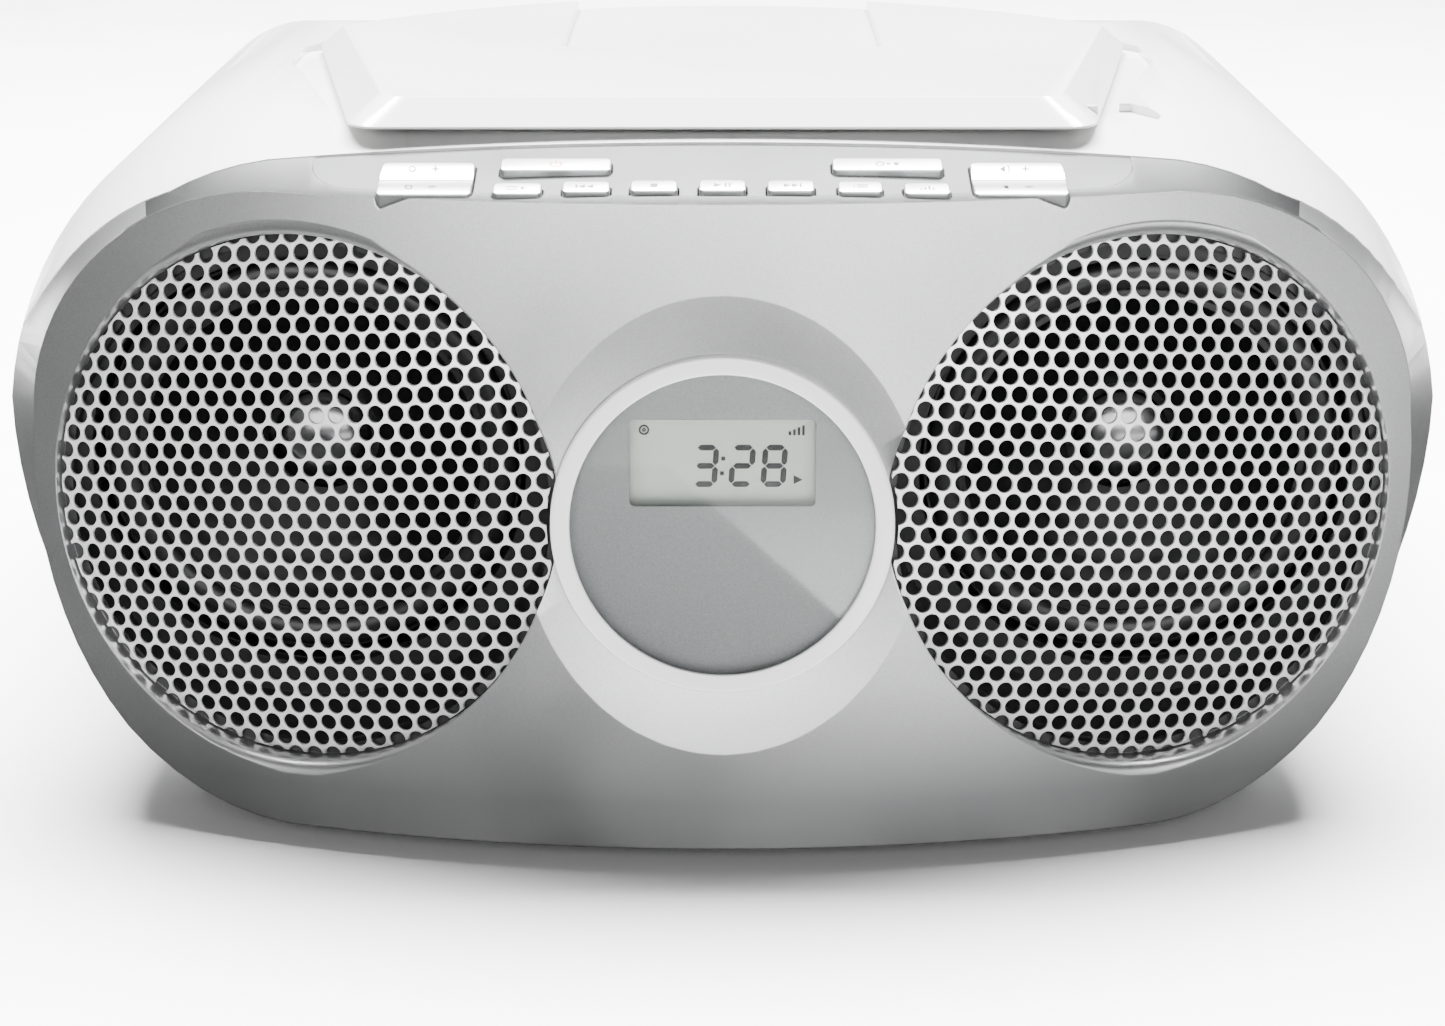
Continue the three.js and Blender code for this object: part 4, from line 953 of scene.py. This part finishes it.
# ---------- materials ----------
class Nodes:
    """A short way to wire shader nodes."""

    def __init__(self, name):
        self.material = bpy.data.materials.new(name)
        self.material.use_nodes = True
        self.tree = self.material.node_tree
        self.tree.nodes.clear()
        self.out = self.add("ShaderNodeOutputMaterial")
        self.place = self.add("ShaderNodeTexCoord").outputs["Object"]

    def add(self, kind, inputs=(), **settings):
        node = self.tree.nodes.new(kind)
        for key, value in settings.items():
            setattr(node, key, value)
        for key, value in dict(inputs).items():
            if isinstance(value, bpy.types.NodeSocket):
                self.tree.links.new(value, node.inputs[key])
            else:
                node.inputs[key].default_value = value
        return node

    def noise(self, scale, detail=3, rough=0.5, stretch=None):
        place = self.place
        if stretch:
            place = self.add("ShaderNodeMapping", {"Vector": place, "Scale": stretch}).outputs[0]
        inputs = {"Vector": place, "Scale": scale, "Detail": detail, "Roughness": rough}
        node = self.add("ShaderNodeTexNoise", inputs)
        return node.outputs["Fac"]

    def spread(self, value, low, high, start=0.3, end=0.7):
        """Maps start..end onto low..high."""
        inputs = {"Value": value, "From Min": start, "From Max": end, "To Min": low, "To Max": high}
        return self.add("ShaderNodeMapRange", inputs).outputs[0]

    def blend(self, factor, a, b):
        node = self.add("ShaderNodeMix", data_type="RGBA")
        self.tree.links.new(factor, node.inputs["Factor"])
        for key, value in (("A", a), ("B", b)):
            socket = [s for s in node.inputs if s.name == key and s.type == "RGBA"][0]
            if isinstance(value, bpy.types.NodeSocket):
                self.tree.links.new(value, socket)
            else:
                socket.default_value = (*value, 1)
        return [s for s in node.outputs if s.type == "RGBA"][0]

    def normal(self, height, distance, strength, bevel):
        edge = self.add("ShaderNodeBevel", {"Radius": bevel * MM}, samples=4).outputs[0]
        inputs = {"Height": height, "Distance": distance * MM, "Strength": strength, "Normal": edge}
        return self.add("ShaderNodeBump", inputs).outputs[0]


def tone(colour, factor):
    return tuple(min(1, c * factor) for c in colour)


def finish(name, colour, rough, metal=0.0, grain=(1800, 0.05), bump=0.3, wear=0.06, bevel=0.3, coat=0.0,
           stretch=None, fade=None, shine=0.5):
    """Grained plastic, paint or metal: fine colour grain, broad gloss changes, a fine bump and soft edges; fade
    adds painted shade, darker towards the bottom.
    """
    n = Nodes(name)
    scale, amount = grain
    fine = n.noise(scale, 4, 0.6, stretch)
    broad = n.noise(18, 3, 0.55)
    shade = n.blend(n.spread(fine, 0, 1), tone(colour, 1 - amount), tone(colour, 1 + amount))
    shade = n.blend(n.spread(broad, 0, wear), shade, tone(colour, 0.82))
    # fade is painted shade: between the low and high heights (mm) the colour darkens down to the given tone,
    # darkest at the bottom.
    if fade:
        low, high, painted_shade_tone = fade
        z = n.add("ShaderNodeSeparateXYZ", {"Vector": n.place}).outputs["Z"]
        shade = n.blend(n.spread(z, 1, 0, low * MM, high * MM), shade, tone(colour, painted_shade_tone))
    gloss = n.spread(broad, rough * 0.85, rough * 1.2)
    inputs = {"Base Color": shade, "Roughness": gloss, "Metallic": metal, "Coat Weight": coat,
              "Coat Roughness": 0.08, "Specular IOR Level": shine,
              "Normal": n.normal(fine, 0.05, bump, bevel)}
    shader = n.add("ShaderNodeBsdfPrincipled", inputs)
    n.tree.links.new(shader.outputs[0], n.out.inputs["Surface"])
    return n.material


LENS_GLOSS = 0.055


def clear_finish(name):
    """Thin clear acrylic: a faint gloss over whatever lies behind, the same at every angle."""
    n = Nodes(name)
    smear = n.spread(n.noise(40, 3), 0.015, 0.05)
    scratch = n.normal(n.noise(900, 2), 0.02, 0.05, 0.3)
    gloss = n.add("ShaderNodeBsdfGlossy", {"Roughness": smear, "Normal": scratch})
    clear = n.add("ShaderNodeBsdfTransparent", {"Color": (0.97, 0.98, 0.98, 1)})
    mix = n.add("ShaderNodeMixShader", {0: LENS_GLOSS, 1: clear.outputs[0], 2: gloss.outputs[0]})
    n.tree.links.new(mix.outputs[0], n.out.inputs["Surface"])
    return n.material


# A near-black copy of the silver paint for the upward-facing top strip of the fascia: painted shade, as strip and
# face are one paint.
STRIP_PAINTED_SHADE = finish("strip_silver_painted_shade", (0.07, 0.071, 0.072), 0.38, 0.9, (2600, 0.10), 0.25, 0.05, 0.4)
# The fade on the silver paint is painted shade: it darkens the lowest band of the fascia, the chin, though the
# paint there is the same silver.
SILVER = finish("silver_paint", (0.58, 0.585, 0.59), 0.33, 0.95, (2600, 0.10), 0.25, 0.05, 0.45,
                fade=(14, 38, 0.6))
WHITE = finish("white_gloss_plastic", (0.66, 0.66, 0.655), 0.22, 0, (700, 0.006), 0.05, 0.02, 0.5, coat=0.5)
KEY = finish("key_paint", (0.50, 0.505, 0.51), 0.32, 0.9, (2600, 0.07), 0.2, 0.05, 0.25)
GRILLE = finish("grille_metal", (0.80, 0.80, 0.79), 0.3, 0.55, (2200, 0.05), 0.2, 0.08, 0.12)
STEEL = finish("brushed_steel", (0.62, 0.62, 0.62), 0.3, 1, (600, 0.08), 0.3, 0.1, 0.2, stretch=(1, 12, 12))
CHROME = finish("chrome", (0.80, 0.80, 0.81), 0.09, 1, (1500, 0.02), 0.03, 0.05, 0.2)
DARK = finish("dark_plastic", (0.014, 0.014, 0.015), 0.42, 0, (1500, 0.2), 0.4, 0.1, 0.3)
CONE = finish("black_cone", (0.003, 0.003, 0.003), 0.3, 0, (900, 0.3), 0.25, 0.1, 0.3, shine=0.15)
SURROUND = finish("surround_rubber", (0.012, 0.012, 0.0125), 0.3, 0, (1300, 0.15), 0.3, 0.1, 0.3)
CAP = finish("cap_metal", (0.40, 0.40, 0.41), 0.2, 1, (1400, 0.04), 0.1, 0.06, 0.3)
FERRITE = finish("ferrite", (0.06, 0.06, 0.065), 0.6, 0.1, (1200, 0.3), 0.6, 0.15, 0.4)
RUBBER = finish("foot_rubber", (0.03, 0.03, 0.032), 0.75, 0, (1500, 0.25), 0.7, 0.15, 0.4)
PLATE = finish("display_plate_paint", (0.25, 0.25, 0.252), 0.32, 0.55, (3200, 0.16), 0.3, 0.05, 0.2)
LCD = finish("lcd_panel", (0.36, 0.39, 0.345), 0.35, 0, (2400, 0.02), 0.05, 0.04, 0.1)
INK = finish("lcd_figures_ink", (0.008, 0.009, 0.009), 0.4, 0, (2400, 0.2), 0.05, 0.1, 0.02)
PRINT = finish("key_print", (0.03, 0.03, 0.032), 0.5, 0, (3000, 0.15), 0.1, 0.1, 0.02)
RED_PRINT = finish("red_print", (0.62, 0.05, 0.03), 0.45, 0, (3000, 0.1), 0.1, 0.1, 0.02)
BOARD = finish("circuit_board", (0.03, 0.12, 0.05), 0.35, 0, (300, 0.25), 0.3, 0.15, 0.2, coat=0.3)
IRON = finish("transformer_iron", (0.30, 0.29, 0.27), 0.5, 0.8, (700, 0.15), 0.5, 0.2, 0.3,
              stretch=(1, 1, 14))
GEAR = finish("gear_nylon", (0.80, 0.78, 0.72), 0.45, 0, (900, 0.03), 0.2, 0.08, 0.15)
CLEAR = clear_finish("clear_lens")
CARD = finish("card_black", (0.006, 0.006, 0.006), 0.9, 0, (900, 0.2), 0.1, 0.1, 0.1, shine=0.0)
FLOOR = finish("studio_floor", (0.9, 0.9, 0.9), 0.6, 0, (6, 0.01), 0.0, 0.01, 0.1, shine=0.2)


# ---------- putting the pieces in place ----------
def put(obj, name, material, slot, body, *nodes):
    obj.name = name
    obj.data.name = name
    obj.data.materials.clear()
    obj.data.materials.append(material)
    if nodes:
        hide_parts(*nodes)
    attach(obj, body)
    return obj


outer = casing("outer", 0, 16)
inner = casing("inner", WALL, 10)
fascia = put(make_fascia(outer, inner), "fascia", SILVER, "silver", "casing", "front_fascia")
fascia.data.materials.append(DARK)
fascia.data.materials.append(STRIP_PAINTED_SHADE)
CHAMBER, behind_grille = 40, -RIM_DEPTH - GRILLE_THICK - 0.2
for face in fascia.data.polygons:
    # Upward-facing faces near the top of the fascia take the darker copy of the silver: painted shade on the same
    # paint.
    if face.normal.z > 0.8 and face.center.z > (SHOULDER_Z - 40) * MM:
        face.material_index = 2
    for where in SPEAKERS.values():
        spot = where.inverted() @ (face.center / MM)
        if math.hypot(spot.x, spot.y) < OPENING_R + 4 and -CHAMBER < spot.z < behind_grille:
            face.material_index = 1
put(make_top_cover(outer, inner), "cover", WHITE, "white", "casing", "top_cover")
put(make_cabinet(outer, inner), "cabinet", WHITE, "white", "casing", "rear_cabinet")
bpy.data.objects.remove(outer)
bpy.data.objects.remove(inner)
put(make_lid(), "lid_shell", WHITE, "white", "lid", "cd_door")
put(make_handle(), "handle_bar", WHITE, "white", "casing", "carry_handle")
put(make_battery_door(), "battery_leaf", WHITE, "white", "battery_cover", "battery_door")
for number, (x, y) in enumerate([(-86, -88), (86, -88), (-86, 98), (86, 98)], 1):
    put(make_foot("foot", x, y), f"rubber_foot_{number}", RUBBER, "rubber", "casing", f"foot_{number}")

for side, grille in make_grilles().items():
    put(grille, side + "_perforated_grille", GRILLE, "grille_steel", "casing", side + "_grille")
    where, body = DRIVERS[side], side + "_driver_cone"
    put(make_basket("basket", where), side + "_frame_ring", SURROUND, "dark", "casing", side + "_basket")
    put(make_cone("cone", where), side + "_paper_cone", CONE, "cone_black", body, side + "_cone")
    put(make_surround("surround", where), side + "_surround", SURROUND, "cone_black", body)
    put(make_cap("cap", where), side + "_cap", CAP, "cap_silver", body, side + "_dust_cap")

put(make_bezel(), "bezel_ring", WHITE, "white", "casing", "display_bezel")
put(make_plate(), "plate", PLATE, "plate_silver", "casing", "display_plate")
lens_back = LENS_TOP - 1.4
put(lathe("lens", [(0, lens_back), (PLATE_R, lens_back), (PLATE_R, LENS_TOP), (0, LENS_TOP)], 128, DISPLAY),
    "lens", CLEAR, "clear", "casing", "display_lens")
put(prism("lcd", lcd_outline(2), LENS_TOP - 5.6, LENS_TOP - 3.8, DISPLAY), "lcd_panel", LCD, "lcd", "casing",
    "lcd_glass")
put(make_figures(), "lcd_figures", INK, "lcd", "casing")

for name, x, row, w, h in KEYS:
    where = key_frame(x, row)
    put(make_key(name, w, h, where), name + "_cap", KEY, "key_silver", name + "_body", name)
    ink = RED_PRINT if name == "power_button" else PRINT
    put(make_sign(name, where), name + "_sign", ink, "key_silver", name + "_body")

block, pins = make_inlet()
put(block, "inlet_block", DARK, "dark", "casing", "mains_inlet")
put(pins, "inlet_pins", STEEL, "bright_steel", "casing")
put(make_jack(), "jack_socket", DARK, "dark", "casing", "audio_in_jack")
for i, (x, z) in enumerate(SCREWS):
    head = bar_y("screw", x, z, 2.6, REAR_Y - 1.6, REAR_Y - 0.4, 32, 2.2)
    cut(head, cube("slot", x - 1.6, x + 1.6, REAR_Y - 0.9, REAR_Y, z - 0.25, z + 0.25))
    cut(head, cube("slot", x - 0.25, x + 0.25, REAR_Y - 0.9, REAR_Y, z - 1.6, z + 1.6))
    put(head, f"screw_{i + 1}", STEEL, "bright_steel", "casing")

put(make_antenna_base(), "antenna_fork", CHROME, "chrome", "antenna_knuckle", "antenna_base")
for index, level in enumerate(("outer", "middle", "tip")):
    put(make_antenna_section(index, "rod"), "antenna_section_" + level, CHROME, "chrome",
        "antenna_rod_" + level, "antenna_" + level)
put(make_hub(), "hub_turntable", DARK, "dark", "hub", "spindle_hub")

CARRIED = (
    (WHITE, "battery_tray"), (BOARD, "display_board key_board main_board"),
    (STEEL, "drive_chassis guide_rod_left guide_rod_right spindle_motor sled_motor hinge_pin_left hinge_pin_right"),
    (DARK, "laser_pickup"), (GEAR, "sled_gear"), (FERRITE, "left_magnet right_magnet"), (IRON, "transformer"),
)
for material, names in CARRIED:
    for name in names.split():
        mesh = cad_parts[name].data
        mesh.materials.clear()
        mesh.materials.append(material)

# ---------- floor, light and camera ----------
reach = 6000
floor = make("floor", [(-reach, -reach, 0), (reach, -reach, 0), (reach, reach, 0), (-reach, reach, 0)],
             [(0, 1, 2, 3)])
floor.data.materials.append(FLOOR)

world = bpy.data.worlds.new("studio")
world.use_nodes = True
world.node_tree.nodes["Background"].inputs["Color"].default_value = (1, 1, 1, 1)
world.node_tree.nodes["Background"].inputs["Strength"].default_value = 0.15
bpy.context.scene.world = world


def softbox(name, place, aim, size, power):
    lamp = bpy.data.lights.new(name, "AREA")
    lamp.shape, lamp.size, lamp.size_y, lamp.energy = "RECTANGLE", size[0], size[1], power
    obj = bpy.data.objects.new(name, lamp)
    bpy.context.scene.collection.objects.link(obj)
    obj.location = place
    obj.rotation_euler = (Vector(aim) - Vector(place)).to_track_quat("-Z", "Y").to_euler()
    return obj


softbox("top_light", (0, 0.40, 1.25), (0, 0.05, 0), (1.3, 0.5), 275)
softbox("front_light", (0.1, -1.5, 0.68), (0, 0, 0.07), (1.9, 0.85), 11)


def reflection_card(name, corners, material):
    """A card that only reflections see, as a photographer hangs one to shape the gloss of metal."""
    card = make(name, corners, [tuple(range(len(corners)))])
    card.data.materials.append(material)
    card.visible_camera = card.visible_diffuse = card.visible_shadow = card.visible_transmission = False


glow = Nodes("glow")
strength = glow.spread(glow.noise(1.5, 2), 6.5, 7.5)
shader = glow.add("ShaderNodeEmission", {"Color": (1, 1, 1, 1), "Strength": strength})
glow.tree.links.new(shader.outputs[0], glow.out.inputs["Surface"])
corners = [(-70, -2600), (62, -420), (2200, -420), (2200, 400), (-2200, 400), (-2200, -1400)]
reflection_card("dark_card", [(x, y, 1) for x, y in corners], CARD)
corners = [(-850, -1520, 300), (1050, -1520, 300), (1050, -1380, 1050), (-850, -1380, 1050)]
reflection_card("bright_card", corners, glow.material)

camera = bpy.data.cameras.new("camera")
camera.lens, camera.sensor_width = 59.8, 36
viewer = bpy.data.objects.new("camera", camera)
viewer.location = (0, -0.5486, 0.2436)
viewer.rotation_euler = (math.radians(69), 0, 0)
bpy.context.scene.collection.objects.link(viewer)
bpy.context.scene.camera = viewer
